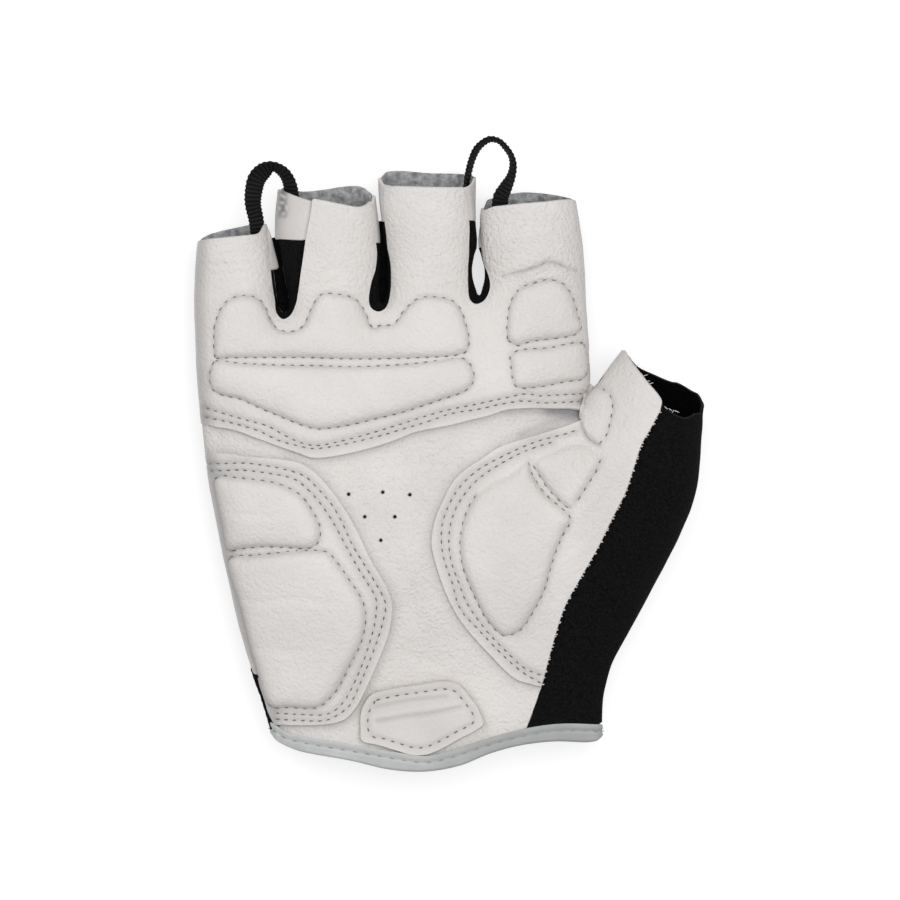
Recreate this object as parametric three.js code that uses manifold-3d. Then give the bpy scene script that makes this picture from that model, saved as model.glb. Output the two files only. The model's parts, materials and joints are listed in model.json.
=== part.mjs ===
// Fingerless cycling glove, right hand, lying on its back with the palm up.
// +Y runs to the finger ends, +X to the thumb, +Z out of the palm; millimetres.
import * as THREE from "three";
import { mergeVertices } from "three/addons/utils/BufferGeometryUtils.js";
import Module from "manifold-3d";

const wasm = await Module();
wasm.setup();

// Driving sizes of the whole glove.
const palmWidth = 98.75;
const gloveLength = 150;
const fullHalfThickness = 12.4;
const edgeRound = 12;
const restDepth = 0.5;
const wristHalfThickness = 7.2;
const wristLength = 20;
const wristTaperLength = 38;
const thumbLift = 6;
const thumbLiftLength = 34;

// Layers, each measured along the surface, and the clearance between neighbours.
const clearance = 0.3;
const leather = 1;
const palmLeather = 0.9;
const backFabric = 1.1;
const liningFabric = 0.6;
const wallFabric = 0.9;
const padInsetShare = 0.01215;
const padRampShare = 0.0425;
const padInset = palmWidth * padInsetShare;
const padRamp = palmWidth * padRampShare;
const lapSink = 1.3;

// Seams and openings.
const seamDrop = 1.5;
const sideDrop = 3;
const ventHoleWidth = 1;
const slitWidth = 3.2;
const slitLength = 26;

const bindingRise = 0.5;
const bindingDepth = 3.2;
const bindingBackDepth = 1.4;
const bindingStep = 3.4;
const tabLength = 42;
const tabWidth = 21;

// Grid of the curved skin.
const skinStep = 8;
const edgeStep = 4.2;
const edgeInset = 0.8;
const ringInset = 3.2;
const padStep = 5;
const backStep = 12;
const tabStep = 5.5;
const overrun = 12;
const leastDepth = 0.2;
const leastStep = 0.075;

// Cutting bodies and the frame of the triangle nets: each reaches well past the glove.
const cutterHeight = 62;
const fieldWidth = 200;
const fieldLength = 300;
const fieldStep = 9;
const netReach = 4000;

// Places on the flat pattern, in pixels of the reference picture. One scale turns them into millimetres.
const palmWidthPx = 395;
const gloveLengthPx = 600;
const patternCentrePx = [449, 453.75];
const xScale = palmWidth / palmWidthPx;
const yScale = gloveLength / gloveLengthPx;

function place([px, py]) {
  const x = (px - patternCentrePx[0]) * xScale;
  const y = (patternCentrePx[1] - py) * yScale;
  return new THREE.Vector3(x, y, 0);
}

function curve(pixels, closed = false) {
  return new THREE.CatmullRomCurve3(pixels.map(place), closed, "centripetal");
}

const leastCount = 3;

function line(pixels, step, closed = false) {
  const path = curve(pixels, closed);
  const count = Math.max(leastCount, Math.round(path.getLength() / step));
  const points = path.getSpacedPoints(count);
  return closed ? points.slice(0, -1) : points;
}

// Side lines of the hand: where the glove is as wide as it gets, from the cuff round to the cuff again.
const leftSidePx = [
  [279, 806], [277, 765], [269, 723], [252, 671], [238, 623], [227, 575], [217, 527],
  [208, 479], [202, 431], [197, 383], [195, 330], [194, 290], [196, 255], [198, 236], [199, 205],
];
const slotOnePx = [
  [264, 205], [266, 224], [270, 242], [274, 262], [277, 285], [280, 303],
  [284, 311], [287, 303], [284, 285], [280, 262], [277, 242], [275, 224], [276, 200], [279, 160],
];
const slotTwoPx = [
  [374, 160], [375, 195], [377, 212], [379, 228], [380, 244], [381, 262], [380, 283], [380, 295],
  [382.5, 302], [385.5, 295], [387, 282], [386.5, 262], [385, 244], [383, 228], [380, 205], [379, 195],
  [378, 145],
];
const slotThreePx = [
  [477, 145], [476.5, 200], [476, 225], [475.5, 240], [474.5, 254], [474, 268], [475, 281], [477, 290],
  [479, 295], [481, 290], [482.5, 281], [482.5, 269], [481, 256], [480, 240], [479.8, 225], [481, 175],
];
const crotchPx = [
  [573, 170], [576, 200], [579, 220], [582, 239], [585, 271], [586, 303], [589, 343], [590.5, 367],
  [590, 383], [587, 396], [586, 405], [590, 397], [595, 386], [608, 367], [620, 351], [634, 330], [646, 312],
];
const rightSidePx = [
  [728, 362], [715, 384], [704, 407], [702, 431], [700, 460], [697, 487], [691, 508], [680, 535],
  [656, 583], [630, 631], [613, 663], [606, 687], [602, 711], [602, 730], [603, 765], [604, 806],
];
const sideLines = [leftSidePx, slotOnePx, slotTwoPx, slotThreePx, crotchPx, rightSidePx];

// Flat distance from a point to a row of points joined by straight stretches.
function distanceTo(points, x, y, closed = false) {
  let best = Infinity;
  const last = closed ? points.length : points.length - 1;
  for (let i = 0; i < last; i++) {
    const a = points[i];
    const b = points[(i + 1) % points.length];
    const dx = b.x - a.x;
    const dy = b.y - a.y;
    const share = ((x - a.x) * dx + (y - a.y) * dy) / (dx * dx + dy * dy);
    const t = Math.min(1, Math.max(0, share));
    best = Math.min(best, Math.hypot(a.x + dx * t - x, a.y + dy * t - y));
  }
  return best;
}

function inside(points, x, y) {
  let odd = false;
  for (let i = 0, j = points.length - 1; i < points.length; j = i++) {
    const a = points[i];
    const b = points[j];
    if (a.y > y !== b.y > y && x < ((b.x - a.x) * (y - a.y)) / (b.y - a.y) + a.x) odd = !odd;
  }
  return odd;
}

// A smooth rise from 0 to 1 as the value goes from one end to the other, in either direction.
function smooth(from, to, value) {
  const t = THREE.MathUtils.clamp((value - from) / (to - from), 0, 1);
  return t * t * (3 - 2 * t);
}

// The curved form: thick in the middle, round towards every side line, thinner at the wrist.
const fineSides = sideLines.map((pixels) => line(pixels, edgeStep / 2));
const cuffMiddlePx = [425, 771];
const cuffY = place(cuffMiddlePx).y;
const wristShare = 1 - wristHalfThickness / fullHalfThickness;

function halfThickness(x, y) {
  let sum = 0;
  for (const side of fineSides) {
    const d = Math.max(distanceTo(side, x, y), leastDepth);
    sum += 1 / (d * d);
  }
  const depth = 1 / Math.sqrt(sum);
  const start = cuffY + wristLength;
  const taper = 1 - wristShare * smooth(start + wristTaperLength, start, y);
  return fullHalfThickness * taper * Math.sqrt(1 - Math.exp(-depth / edgeRound));
}

const thumbRootPx = [560, 560];
const thumbEndPx = [664, 380];
const thumbRoot = place(thumbRootPx);
const thumbAxis = place(thumbEndPx).sub(thumbRoot).normalize();
const palmCorePx = [400, 520];
const palmCore = place(palmCorePx);
const middleHeight = halfThickness(palmCore.x, palmCore.y) - restDepth;

function middle(x, y) {
  const along = (x - thumbRoot.x) * thumbAxis.x + (y - thumbRoot.y) * thumbAxis.y;
  const across = (x - thumbRoot.x) * thumbAxis.y - (y - thumbRoot.y) * thumbAxis.x;
  const onThumb = smooth(-thumbLiftLength / 2, 0, across);
  return middleHeight + thumbLift * smooth(0, thumbLiftLength, along) * onThumb;
}

// Pads that lift the leather. Each outline is the row of stitches round it; crown is its height.
const pads = {
  knuckle_pad_upper: {
    crown: 1.9,
    outlinePx: [
      [216, 357], [214, 340], [217, 318], [226, 303], [242, 296], [256, 298], [267, 308], [273, 323],
      [283, 330.5], [298, 330], [307, 319], [314, 304], [324, 294.5], [345, 296], [360, 303], [368, 318],
      [376, 328], [391, 325], [400, 315], [412, 303], [430, 297], [452, 301], [463, 313], [468, 332],
      [468, 350], [440, 356.5], [350, 358.5], [280, 357.5],
    ],
  },
  knuckle_pad_lower: {
    crown: 1.9,
    outlinePx: [
      [215, 362], [270, 365], [350, 367], [420, 363], [462, 358.5], [472, 368], [472, 384], [440, 400],
      [400, 413], [350, 425], [319, 429], [277, 415], [240, 399], [213, 390], [210, 374],
    ],
  },
  index_pad_upper: {
    crown: 1.6,
    outlinePx: [
      [508, 340], [507, 322], [511, 302], [523, 287], [545, 280.5], [563, 284], [574, 300], [579, 320],
      [575, 335], [545, 340], [518, 346],
    ],
  },
  index_pad_lower: {
    crown: 1.4,
    outlinePx: [
      [580, 344], [548, 348], [514, 353], [510, 362], [513, 382], [520, 388], [550, 385], [581, 378],
      [584, 362],
    ],
  },
  heel_pad_upper: {
    crown: 2.2,
    outlinePx: [
      [216, 482], [232, 477], [260, 480], [285, 486], [303, 498], [317, 520], [320, 538], [306, 548],
      [262, 547], [228, 551], [221, 515],
    ],
  },
  heel_pad_lower: {
    crown: 2.4,
    outlinePx: [
      [231, 559], [270, 553.5], [310, 550], [330, 553], [350, 580], [365, 608], [362, 640], [350, 665],
      [333, 694], [310, 707], [274, 704], [258, 658], [243, 608],
    ],
  },
  thenar_pad: {
    crown: 2.4,
    outlinePx: [
      [528, 462], [508, 476], [488, 486], [470, 504], [460, 545], [464, 568], [475, 596], [490, 623],
      [506, 636], [522, 628], [538, 602], [549, 572], [557, 548], [569, 520], [555, 503], [540, 487],
    ],
  },
  thumb_root_pad: {
    crown: 1.7,
    outlinePx: [
      [533, 464], [549, 490], [568, 507], [580, 494], [592, 475], [599, 459], [592, 450], [578, 444],
      [553, 452],
    ],
  },
  thumb_crotch_pad: {
    crown: 1.5,
    outlinePx: [
      [597, 392], [588, 403], [584, 417], [586, 432], [595, 443], [603, 436], [608, 420], [611, 404],
      [607, 392],
    ],
  },
};
for (const pad of Object.values(pads)) {
  pad.edge = line(pad.outlinePx, padStep, true);
  pad.fine = line(pad.outlinePx, padStep / 2, true);
}

// How far the pads push the leather out, from the stitches to the crown.
function crown(x, y) {
  let height = 0;
  for (const pad of Object.values(pads)) {
    if (!inside(pad.fine, x, y)) continue;
    const depth = distanceTo(pad.fine, x, y, true);
    const rise = Math.sqrt(smooth(-padRamp / 2, padRamp, depth));
    height = Math.max(height, pad.crown * rise);
  }
  return height;
}

// Moves each point of a row sideways: to the left of its run for positive distances.
function shifted(points, distance, closed = false) {
  return points.map((p, i) => {
    const before = points[closed ? (i + points.length - 1) % points.length : Math.max(0, i - 1)];
    const after = points[closed ? (i + 1) % points.length : Math.min(points.length - 1, i + 1)];
    const run = after.clone().sub(before).normalize();
    return new THREE.Vector3(p.x - run.y * distance, p.y + run.x * distance, 0);
  });
}

function area(points) {
  return THREE.ShapeUtils.area(points);
}

function inset(points, distance) {
  return shifted(points, area(points) > 0 ? distance : -distance, true);
}

// The outer loop runs clockwise, so the glove lies to the right of each side line.
function outerLoop() {
  const loop = [];
  sideLines.forEach((pixels, i) => {
    const next = sideLines[(i + 1) % sideLines.length];
    for (const p of shifted(line(pixels, edgeStep), -edgeInset)) loop.push(Object.assign(p, { wall: 1 }));
    const from = loop[loop.length - 1];
    const to = shifted(line(next, edgeStep), -edgeInset)[0];
    const count = Math.round(from.distanceTo(to) / edgeStep);
    for (let k = 1; k < count; k++) loop.push(Object.assign(from.clone().lerp(to, k / count), { wall: 0 }));
  });
  return loop;
}

// Points of a triangle net over the pattern: added only where no point is near yet.
function spread(list, points, gap, loop) {
  for (const p of points) {
    if (loop && !inside(loop, p.x, p.y)) continue;
    if (list.every((q) => Math.hypot(p.x - q.x, p.y - q.y) >= gap)) list.push(p);
  }
}

function hexGrid(loop, step) {
  const box = new THREE.Box3().setFromPoints(loop);
  const rowStep = step * Math.sin(Math.PI / 3);
  const points = [];
  for (let row = 0; box.min.y + row * rowStep < box.max.y; row++) {
    for (let x = box.min.x + ((row % 2) * step) / 2; x < box.max.x; x += step) {
      points.push(new THREE.Vector3(x, box.min.y + row * rowStep, 0));
    }
  }
  return points;
}

// Delaunay triangles of flat points, as index triples that run counter-clockwise.
function delaunay(points) {
  const far = [[-netReach, -netReach], [netReach, -netReach], [0, netReach]];
  const all = [...points, ...far.map(([x, y]) => new THREE.Vector3(x, y, 0))];
  const count = points.length;
  const ring = (a, b, c) => {
    const [p, q, r] = [all[a], all[b], all[c]];
    const d = 2 * (p.x * (q.y - r.y) + q.x * (r.y - p.y) + r.x * (p.y - q.y));
    const [pp, qq, rr] = [p, q, r].map((v) => v.x * v.x + v.y * v.y);
    const x = (pp * (q.y - r.y) + qq * (r.y - p.y) + rr * (p.y - q.y)) / d;
    const y = (pp * (r.x - q.x) + qq * (p.x - r.x) + rr * (q.x - p.x)) / d;
    return { a, b, c, x, y, reach: Math.hypot(p.x - x, p.y - y) };
  };
  let triangles = [ring(count, count + 1, count + 2)];
  for (let i = 0; i < count; i++) {
    const p = all[i];
    const edges = new Map();
    const kept = [];
    for (const t of triangles) {
      if (Math.hypot(p.x - t.x, p.y - t.y) > t.reach) {
        kept.push(t);
        continue;
      }
      for (const [u, v] of [[t.a, t.b], [t.b, t.c], [t.c, t.a]]) {
        if (!edges.delete(v + "," + u)) edges.set(u + "," + v, [u, v]);
      }
    }
    for (const [u, v] of edges.values()) kept.push(ring(u, v, i));
    triangles = kept;
  }
  return triangles.filter((t) => Math.max(t.a, t.b, t.c) < count).map((t) => [t.a, t.b, t.c]);
}

// A net over the pattern whose rim is exactly the loop; a rim stretch that got lost is halved in the loop.
function net(loop, extras) {
  for (;;) {
    const points = [...loop];
    for (const { points: some, gap } of extras) spread(points, some, gap, loop);
    const faces = delaunay(points).filter(([a, b, c]) => {
      const x = (points[a].x + points[b].x + points[c].x) / 3;
      const y = (points[a].y + points[b].y + points[c].y) / 3;
      return inside(loop, x, y);
    });
    const sides = new Set();
    for (const [a, b, c] of faces) [[a, b], [b, c], [c, a]].forEach(([u, v]) => sides.add(u + "," + v));
    const lost = loop.map((p, i) => i).filter((i) => {
      const j = (i + 1) % loop.length;
      return !sides.has(i + "," + j) && !sides.has(j + "," + i);
    });
    if (!lost.length) return { points, faces };
    for (const i of lost.reverse()) {
      const j = (i + 1) % loop.length;
      const half = loop[i].clone().lerp(loop[j], 1 / 2);
      loop.splice(i + 1, 0, Object.assign(half, { wall: Math.min(loop[i].wall, loop[j].wall) }));
    }
  }
}

// The skin: a palm net, a back net and rows of points round the side walls, with the normal of each point.
const wallRowShares = [0.4, -0.4];

function makeSkin(palmExtras, backExtras) {
  const loop = outerLoop();
  net(loop, palmExtras);
  net(loop, backExtras);
  const palm = net(loop, palmExtras);
  const back = net(loop, backExtras);
  const outward = shifted(loop, edgeInset, true).map((p, i) => p.sub(loop[i]));
  const points = [];
  const tags = [];
  const add = (x, y, z, palmSide) => {
    points.push(x, y, z);
    tags.push({ x, y, palmSide });
  };
  for (const p of palm.points) add(p.x, p.y, middle(p.x, p.y) + halfThickness(p.x, p.y), true);
  for (const p of back.points) add(p.x, p.y, middle(p.x, p.y) - halfThickness(p.x, p.y), false);
  for (const share of wallRowShares) {
    loop.forEach((p, i) => {
      const out = p.wall * (1 - share * share);
      const z = middle(p.x, p.y) + halfThickness(p.x, p.y) * share;
      add(p.x + outward[i].x * out, p.y + outward[i].y * out, z, false);
    });
  }
  const backStart = palm.points.length;
  const wallStart = backStart + back.points.length;
  const backFaces = back.faces.map(([a, b, c]) => [a + backStart, c + backStart, b + backStart]);
  const faces = [...palm.faces, ...backFaces];
  const rows = [0, ...wallRowShares.map((_, k) => wallStart + k * loop.length), backStart];
  for (let r = 0; r + 1 < rows.length; r++) {
    loop.forEach((_, i) => {
      const j = (i + 1) % loop.length;
      const [a, b, c, d] = [rows[r] + i, rows[r] + j, rows[r + 1] + i, rows[r + 1] + j];
      faces.push([a, b, c], [b, d, c]);
    });
  }
  const geometry = new THREE.BufferGeometry();
  geometry.setAttribute("position", new THREE.Float32BufferAttribute(points, 3));
  geometry.setIndex(faces.flat());
  geometry.computeVertexNormals();
  return { geometry, tags };
}

// One closed solid of the glove, pushed out of the skin by offset(place); it stays flat where it rests.
function body(skin, offset) {
  const geometry = skin.geometry.clone();
  const { position, normal } = geometry.attributes;
  for (let i = 0; i < position.count; i++) {
    const out = offset(skin.tags[i]);
    const x = position.getX(i) + normal.getX(i) * out;
    const y = position.getY(i) + normal.getY(i) * out;
    const z = position.getZ(i) + normal.getZ(i) * out;
    position.setXYZ(i, x, y, Math.max(z, -out, 0));
  }
  return solidOf(geometry);
}

function solidOf(geometry) {
  const plain = new THREE.BufferGeometry().setAttribute("position", geometry.attributes.position);
  if (geometry.index) plain.setIndex(geometry.index);
  const merged = mergeVertices(plain);
  return new wasm.Manifold(
    new wasm.Mesh({
      numProp: 3,
      vertProperties: merged.attributes.position.array,
      triVerts: new Uint32Array(merged.index.array),
    }),
  );
}

// Upright cutter over a closed outline.
function cutter(row) {
  const points = row.filter((p, i) => p.distanceTo(row[(i + 1) % row.length]) > leastStep);
  const shape = new THREE.Shape(points.map((p) => new THREE.Vector2(p.x, p.y)));
  const geometry = new THREE.ExtrudeGeometry(shape, { depth: cutterHeight, bevelEnabled: false });
  geometry.translate(0, 0, -overrun);
  return solidOf(geometry);
}

// All space above, or below, the seam level between the palm side and the back.
function half(isUpper, shift) {
  const counts = [fieldWidth, fieldLength].map((size) => Math.round(size / fieldStep));
  const geometry = new THREE.BoxGeometry(fieldWidth, fieldLength, clearance, ...counts, 1);
  const { position } = geometry.attributes;
  for (let i = 0; i < position.count; i++) {
    const seam = middle(position.getX(i), position.getY(i)) - seamDrop + shift;
    const isTop = position.getZ(i) > 0;
    const far = isUpper ? cutterHeight : -overrun;
    position.setZ(i, isTop === isUpper ? far : seam);
  }
  return solidOf(geometry);
}

const upper = half(true, clearance / 2);
const lower = half(false, -clearance / 2);
const crest = half(true, seamDrop + sideDrop);
const upperFull = half(true, -clearance);
const lowerFull = half(false, 0);

// Nets: one with the pads' outlines for the palm, a wider one for the lining, and one for the back.
const closureMiddlePx = [408, 706];
const closureMiddle = place(closureMiddlePx);

function padPoints() {
  return Object.values(pads).flatMap((pad) => [...pad.edge, ...inset(pad.edge, padRamp)]);
}

function closurePoints() {
  const points = [];
  for (let x = -tabLength; x <= tabLength; x += tabStep) {
    for (let y = -tabWidth; y <= tabWidth; y += tabStep) {
      points.push(new THREE.Vector3(closureMiddle.x + x, closureMiddle.y + y, 0));
    }
  }
  return points;
}

const loopOnce = outerLoop();
const rim = shifted(loopOnce, edgeInset - ringInset, true);
const nearShare = 0.7;
const palmExtras = [
  { points: rim, gap: edgeStep * nearShare },
  { points: padPoints(), gap: padStep / 2 },
  { points: hexGrid(loopOnce, skinStep), gap: skinStep * nearShare },
];
const backExtras = [
  { points: rim, gap: backStep / 2 },
  { points: closurePoints(), gap: tabStep * nearShare },
  { points: hexGrid(loopOnce, backStep), gap: backStep * nearShare },
];
const fine = makeSkin(palmExtras, backExtras);
const wide = makeSkin([], backExtras);

function padded(depth) {
  return body(fine, ({ x, y, palmSide }) => (palmSide ? crown(x, y) : 0) - depth);
}

function plain(skin, depth) {
  return body(skin, () => -depth);
}

const palmDepth = lapSink + palmLeather;
const liningTop = palmDepth + clearance;
const liningDepth = liningTop + liningFabric;
const outerFace = padded(0);
const leatherBack = padded(leather);
const padCeiling = padded(leather + clearance);
const palmFace = plain(fine, lapSink);
const palmBack = plain(fine, palmDepth);
const wallFace = plain(fine, 0);
const wallBack = plain(fine, wallFabric);
const padFloor = plain(fine, palmDepth);
const backFace = plain(wide, 0);
const backInside = plain(wide, backFabric);

// A piece of cloth or leather: what lies between an outer face and an inner face, inside an outline.
function sheet(outline, side, outer, inner) {
  return outer.intersect(cutter(outline)).intersect(side).subtract(inner);
}

// Seam lines of the palm, as rows of places on the pattern, each from the little finger's side.
const knuckleEdgePx = [
  [212, 426], [235, 430], [255, 437], [285, 448], [313, 457.5], [345, 454], [380, 445], [400, 438],
  [425, 430], [450, 425], [490, 415], [525, 408], [574, 408],
];
const knuckleSeamPx = [
  [208, 409], [250, 421], [281, 433], [315, 445], [365, 435], [420, 418], [460, 407.5], [505, 398],
  [540, 396], [581, 396],
];
const slotEdgesPx = [
  [
    [267, 234], [269, 260], [272, 280], [275, 300], [277, 314], [283, 320], [290, 316], [296, 305],
    [299, 290], [301, 275], [303, 262], [306, 242], [308, 230], [311, 215], [313, 200],
  ],
  [
    [370, 198], [373, 215], [375, 235], [377, 255], [375, 272], [371, 285], [369, 300], [371, 308],
    [378, 312], [385, 309], [389, 300], [391, 285], [391, 268], [388, 250], [386, 235], [384, 215],
    [385, 187],
  ],
  [
    [464, 188], [466, 200], [469, 221], [469, 250], [468, 270], [468, 285], [470, 299], [476, 304.5],
    [484, 302], [489, 294], [490, 282], [489, 268], [487, 250], [486, 230], [486, 211],
  ],
];
const palmRimsPx = [
  [[198, 241], [225, 238.5], [250, 235], [263, 234]],
  [[317, 200.5], [330, 203], [345, 206], [358, 208], [366, 205]],
  [[389, 187], [400, 187], [430, 188], [450, 188], [460, 188]],
  [[489, 209], [500, 207], [520, 205], [545, 203], [560, 201], [575, 200]],
];
const backRimsPx = [
  [[198, 241], [210, 235], [225, 231], [240, 228], [250, 226], [265, 224]],
  [[278, 189], [285, 190], [300, 193], [320, 191], [340, 188], [352, 187], [362, 188], [374, 196]],
  [[380, 178], [385, 173], [400, 172], [430, 174], [460, 175], [477, 178]],
  [[483, 208], [490, 200], [520, 193.5], [540, 194], [555, 196], [575, 200]],
];
const heelEdgePx = [
  [208, 452], [250, 457], [285, 460], [300, 463], [312, 470], [322, 479], [340, 502], [357, 530],
  [370, 558], [388, 590], [392, 605], [388, 635], [375, 668], [360, 700], [352, 712], [345, 721],
  [330, 725], [310, 726.5], [285, 725], [270, 717],
];
const heelSeamPx = [
  [212, 467], [240, 467], [268, 470], [297, 477], [312, 487], [326, 503], [338, 521], [352, 545],
  [364, 567], [378, 590], [381, 602], [378, 622], [369, 648], [355, 680], [344, 704], [330, 716],
  [300, 717], [275, 713],
];
const thumbEdgePx = [
  [578, 424], [540, 434], [500, 447], [480, 460], [465, 470], [453, 482], [445, 497], [437, 515],
  [432, 540], [435, 560], [447, 595], [462, 622], [488, 652], [515, 678], [539, 686],
];
const thumbSeamPx = [
  [577, 430], [552, 439], [525, 447], [500, 459], [477, 475], [461, 492], [450, 514], [446, 535],
  [448, 558], [456, 583], [464, 605], [484, 631], [503, 651], [523, 669], [535, 681],
];
const stripePx = [
  [526, 724], [530, 710], [541, 686], [549, 655], [560, 617], [566, 602], [580, 577], [598, 545],
  [610, 520], [624, 492], [632, 468], [640, 444], [648, 430], [660, 402],
];
const thumbRimPx = [[660, 402], [645, 382], [630, 362], [623, 351]];
const thumbBackRimPx = [
  [623, 350], [637, 367], [655, 376], [672, 383], [685, 387], [697, 394], [705, 408],
];
const thumbFrontRimPx = [[663, 405], [671, 413], [685, 418], [699, 413], [705, 408]];
const crotchSeamPx = [[590, 383], [586, 398], [581, 408], [578, 422]];
const backThumbSeamPx = [
  [590, 383], [586, 400], [577, 430], [560, 480], [544, 540], [534, 600], [530, 660], [524, 722],
];
const bindingTopPx = [
  [271, 722], [285, 731], [300, 735], [350, 743.5], [400, 752], [425, 755], [450, 750], [490, 737],
  [525, 728], [545, 724.5], [565, 723], [603, 724.5],
];
const bindingEndPx = [
  [270, 738], [285, 745], [300, 751], [350, 760], [390, 769], [425, 771], [460, 765], [490, 753],
  [520, 745], [555, 741], [592, 742], [603, 741],
];

function reversed(row) {
  return [...row].reverse();
}

// A seam line as a smooth row of places, moved to its left by a distance.
function seam(pixels, distance = 0) {
  return shifted(line(pixels, padStep), distance);
}

// Places beyond the silhouette, where an outline needs no exact course.
const leftOfHandPx = 160;
const rightOfHandPx = 600;
const rightOfThumbPx = 760;
const besideThumbPx = [[614, 344], [601, 364], [592, 380]];
const besideIndexPx = [[600, 358], [597, 370], [592, 380]];
const topRightPx = palmRimsPx.at(-1).at(-1)[1];
const thumbTopPx = thumbFrontRimPx.at(-1)[1];
const cuffLeftPx = bindingTopPx[0][1];
const cuffRightPx = bindingTopPx.at(-1)[1];
const stripeTurn = 2;
const stripeFoot = 8;
const stripeFootPx = [530, 725.6];

const outlines = {
  knuckle: [
    place([leftOfHandPx, palmRimsPx[0][0][1]]),
    ...palmRimsPx.flatMap((rimPx, i) => [
      ...line(rimPx, padStep),
      ...(i < slotEdgesPx.length ? line(slotEdgesPx[i], padStep / 2) : []),
    ]),
    place([rightOfHandPx, topRightPx]),
    ...besideIndexPx.map(place),
    ...seam(crotchSeamPx.slice(0, -1)),
    ...seam(reversed(knuckleEdgePx)),
    place([leftOfHandPx, knuckleEdgePx[0][1]]),
  ],
  palm: [
    place([leftOfHandPx, knuckleSeamPx[0][1]]),
    ...seam(knuckleSeamPx),
    ...seam(thumbSeamPx),
    ...seam(reversed(stripePx.slice(0, stripeTurn + 1))),
    ...seam(reversed(bindingTopPx.slice(0, stripeFoot)), -clearance),
    place([leftOfHandPx, cuffLeftPx]),
    place([leftOfHandPx, heelSeamPx.at(-1)[1]]),
    ...seam(reversed(heelSeamPx)),
    place([leftOfHandPx, heelSeamPx[0][1]]),
  ],
  heel: [
    place([leftOfHandPx, heelEdgePx[0][1]]),
    ...seam(heelEdgePx),
    place([leftOfHandPx, heelEdgePx.at(-1)[1]]),
  ],
  thumb: [
    ...seam(stripePx.slice(stripeTurn)),
    ...seam(thumbRimPx),
    ...besideThumbPx.map(place),
    ...seam(crotchSeamPx, clearance),
    ...seam(thumbEdgePx),
  ],
  stripe: [
    ...seam(stripePx, -clearance),
    ...seam(thumbFrontRimPx),
    place([rightOfThumbPx, thumbTopPx]),
    place([rightOfThumbPx, cuffRightPx]),
    ...seam(reversed(bindingTopPx.slice(stripeFoot + 1)), -clearance),
    place(stripeFootPx),
  ],
  thumbBack: [
    ...seam(backThumbSeamPx),
    place(stripeFootPx),
    ...seam(bindingTopPx.slice(stripeFoot + 1), clearance),
    place([rightOfThumbPx, cuffRightPx]),
    place([rightOfThumbPx, thumbTopPx]),
    ...seam(reversed(thumbBackRimPx)),
    ...besideThumbPx.map(place),
  ],
  back: [
    place([leftOfHandPx, backRimsPx[0][0][1]]),
    ...backRimsPx.flatMap((rimPx) => line(rimPx, padStep)),
    place([rightOfHandPx, backRimsPx.at(-1).at(-1)[1]]),
    ...besideIndexPx.map(place),
    ...seam(backThumbSeamPx, -clearance),
    ...seam(reversed(bindingTopPx.slice(0, stripeFoot)), -clearance),
    place([leftOfHandPx, cuffLeftPx]),
  ],
};

// Lining of the palm: it reaches into the finger stalls and stops short of every side wall.
const liningPx = [
  [204, 262], [235, 256], [258, 262], [262, 300], [270, 330], [300, 328], [310, 290], [318, 224],
  [340, 218], [364, 224], [363, 270], [360, 316], [380, 326], [398, 312], [398, 260], [394, 205],
  [425, 202], [458, 206], [460, 260], [461, 308], [477, 318], [495, 306], [500, 270], [512, 244],
  [532, 222], [568, 222], [575, 290], [580, 360], [577, 405], [590, 398], [606, 382], [636, 402],
  [622, 450], [605, 495], [580, 545], [555, 595], [540, 640], [528, 690], [514, 722], [480, 733],
  [425, 746], [360, 736], [300, 727], [278, 716], [262, 665], [243, 600], [228, 540], [217, 480],
  [208, 420], [204, 340],
];

// Patch under the wrist with slanted ribs, and the air holes in the middle of the palm.
const patchPx = [
  [372, 695], [400, 687], [445, 681], [463, 688], [477, 706], [483, 723], [460, 735], [445, 744],
  [428, 751], [412, 750], [395, 746], [363, 739], [361, 718], [364, 705],
];
const patchRise = 0.5;
const patchBorder = 1.9;
const ribSlope = [[374, 709], [460, 695]];
const ribPitch = 2.4;
const ribGroove = 0.8;
const ribCount = 4;
const ribDepth = 0.6;
const holesPx = [[349, 494], [383, 492], [410, 494.5], [365, 516.5], [395, 516.5], [381, 540]];
const holeSides = 8;

function disc(centre, radius) {
  return Array.from({ length: holeSides }, (_, k) => {
    const turn = (2 * Math.PI * k) / holeSides;
    return new THREE.Vector3(centre.x + radius * Math.cos(turn), centre.y + radius * Math.sin(turn), 0);
  });
}

function wristPatch() {
  const outline = line(patchPx, padStep / 2, true);
  const face = plain(fine, -patchRise);
  const under = plain(fine, lapSink - clearance);
  const floor = plain(fine, ribDepth - patchRise);
  let patch = sheet(outline, upper, face, under);
  const field = cutter(inset(outline, patchBorder));
  const [from, to] = ribSlope.map(place);
  for (let k = 0; k < ribCount; k++) {
    const drop = k * ribPitch;
    const groove = [
      new THREE.Vector3(from.x, from.y - drop, 0),
      new THREE.Vector3(to.x, to.y - drop, 0),
      new THREE.Vector3(to.x, to.y - drop + ribGroove, 0),
      new THREE.Vector3(from.x, from.y - drop + ribGroove, 0),
    ];
    patch = patch.subtract(cutter(groove).intersect(field).subtract(floor));
  }
  return patch;
}

function palmPanel() {
  let panel = sheet(outlines.palm, upper, palmFace, palmBack);
  for (const hole of holesPx) panel = panel.subtract(cutter(disc(place(hole), ventHoleWidth / 2)));
  return panel;
}

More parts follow.
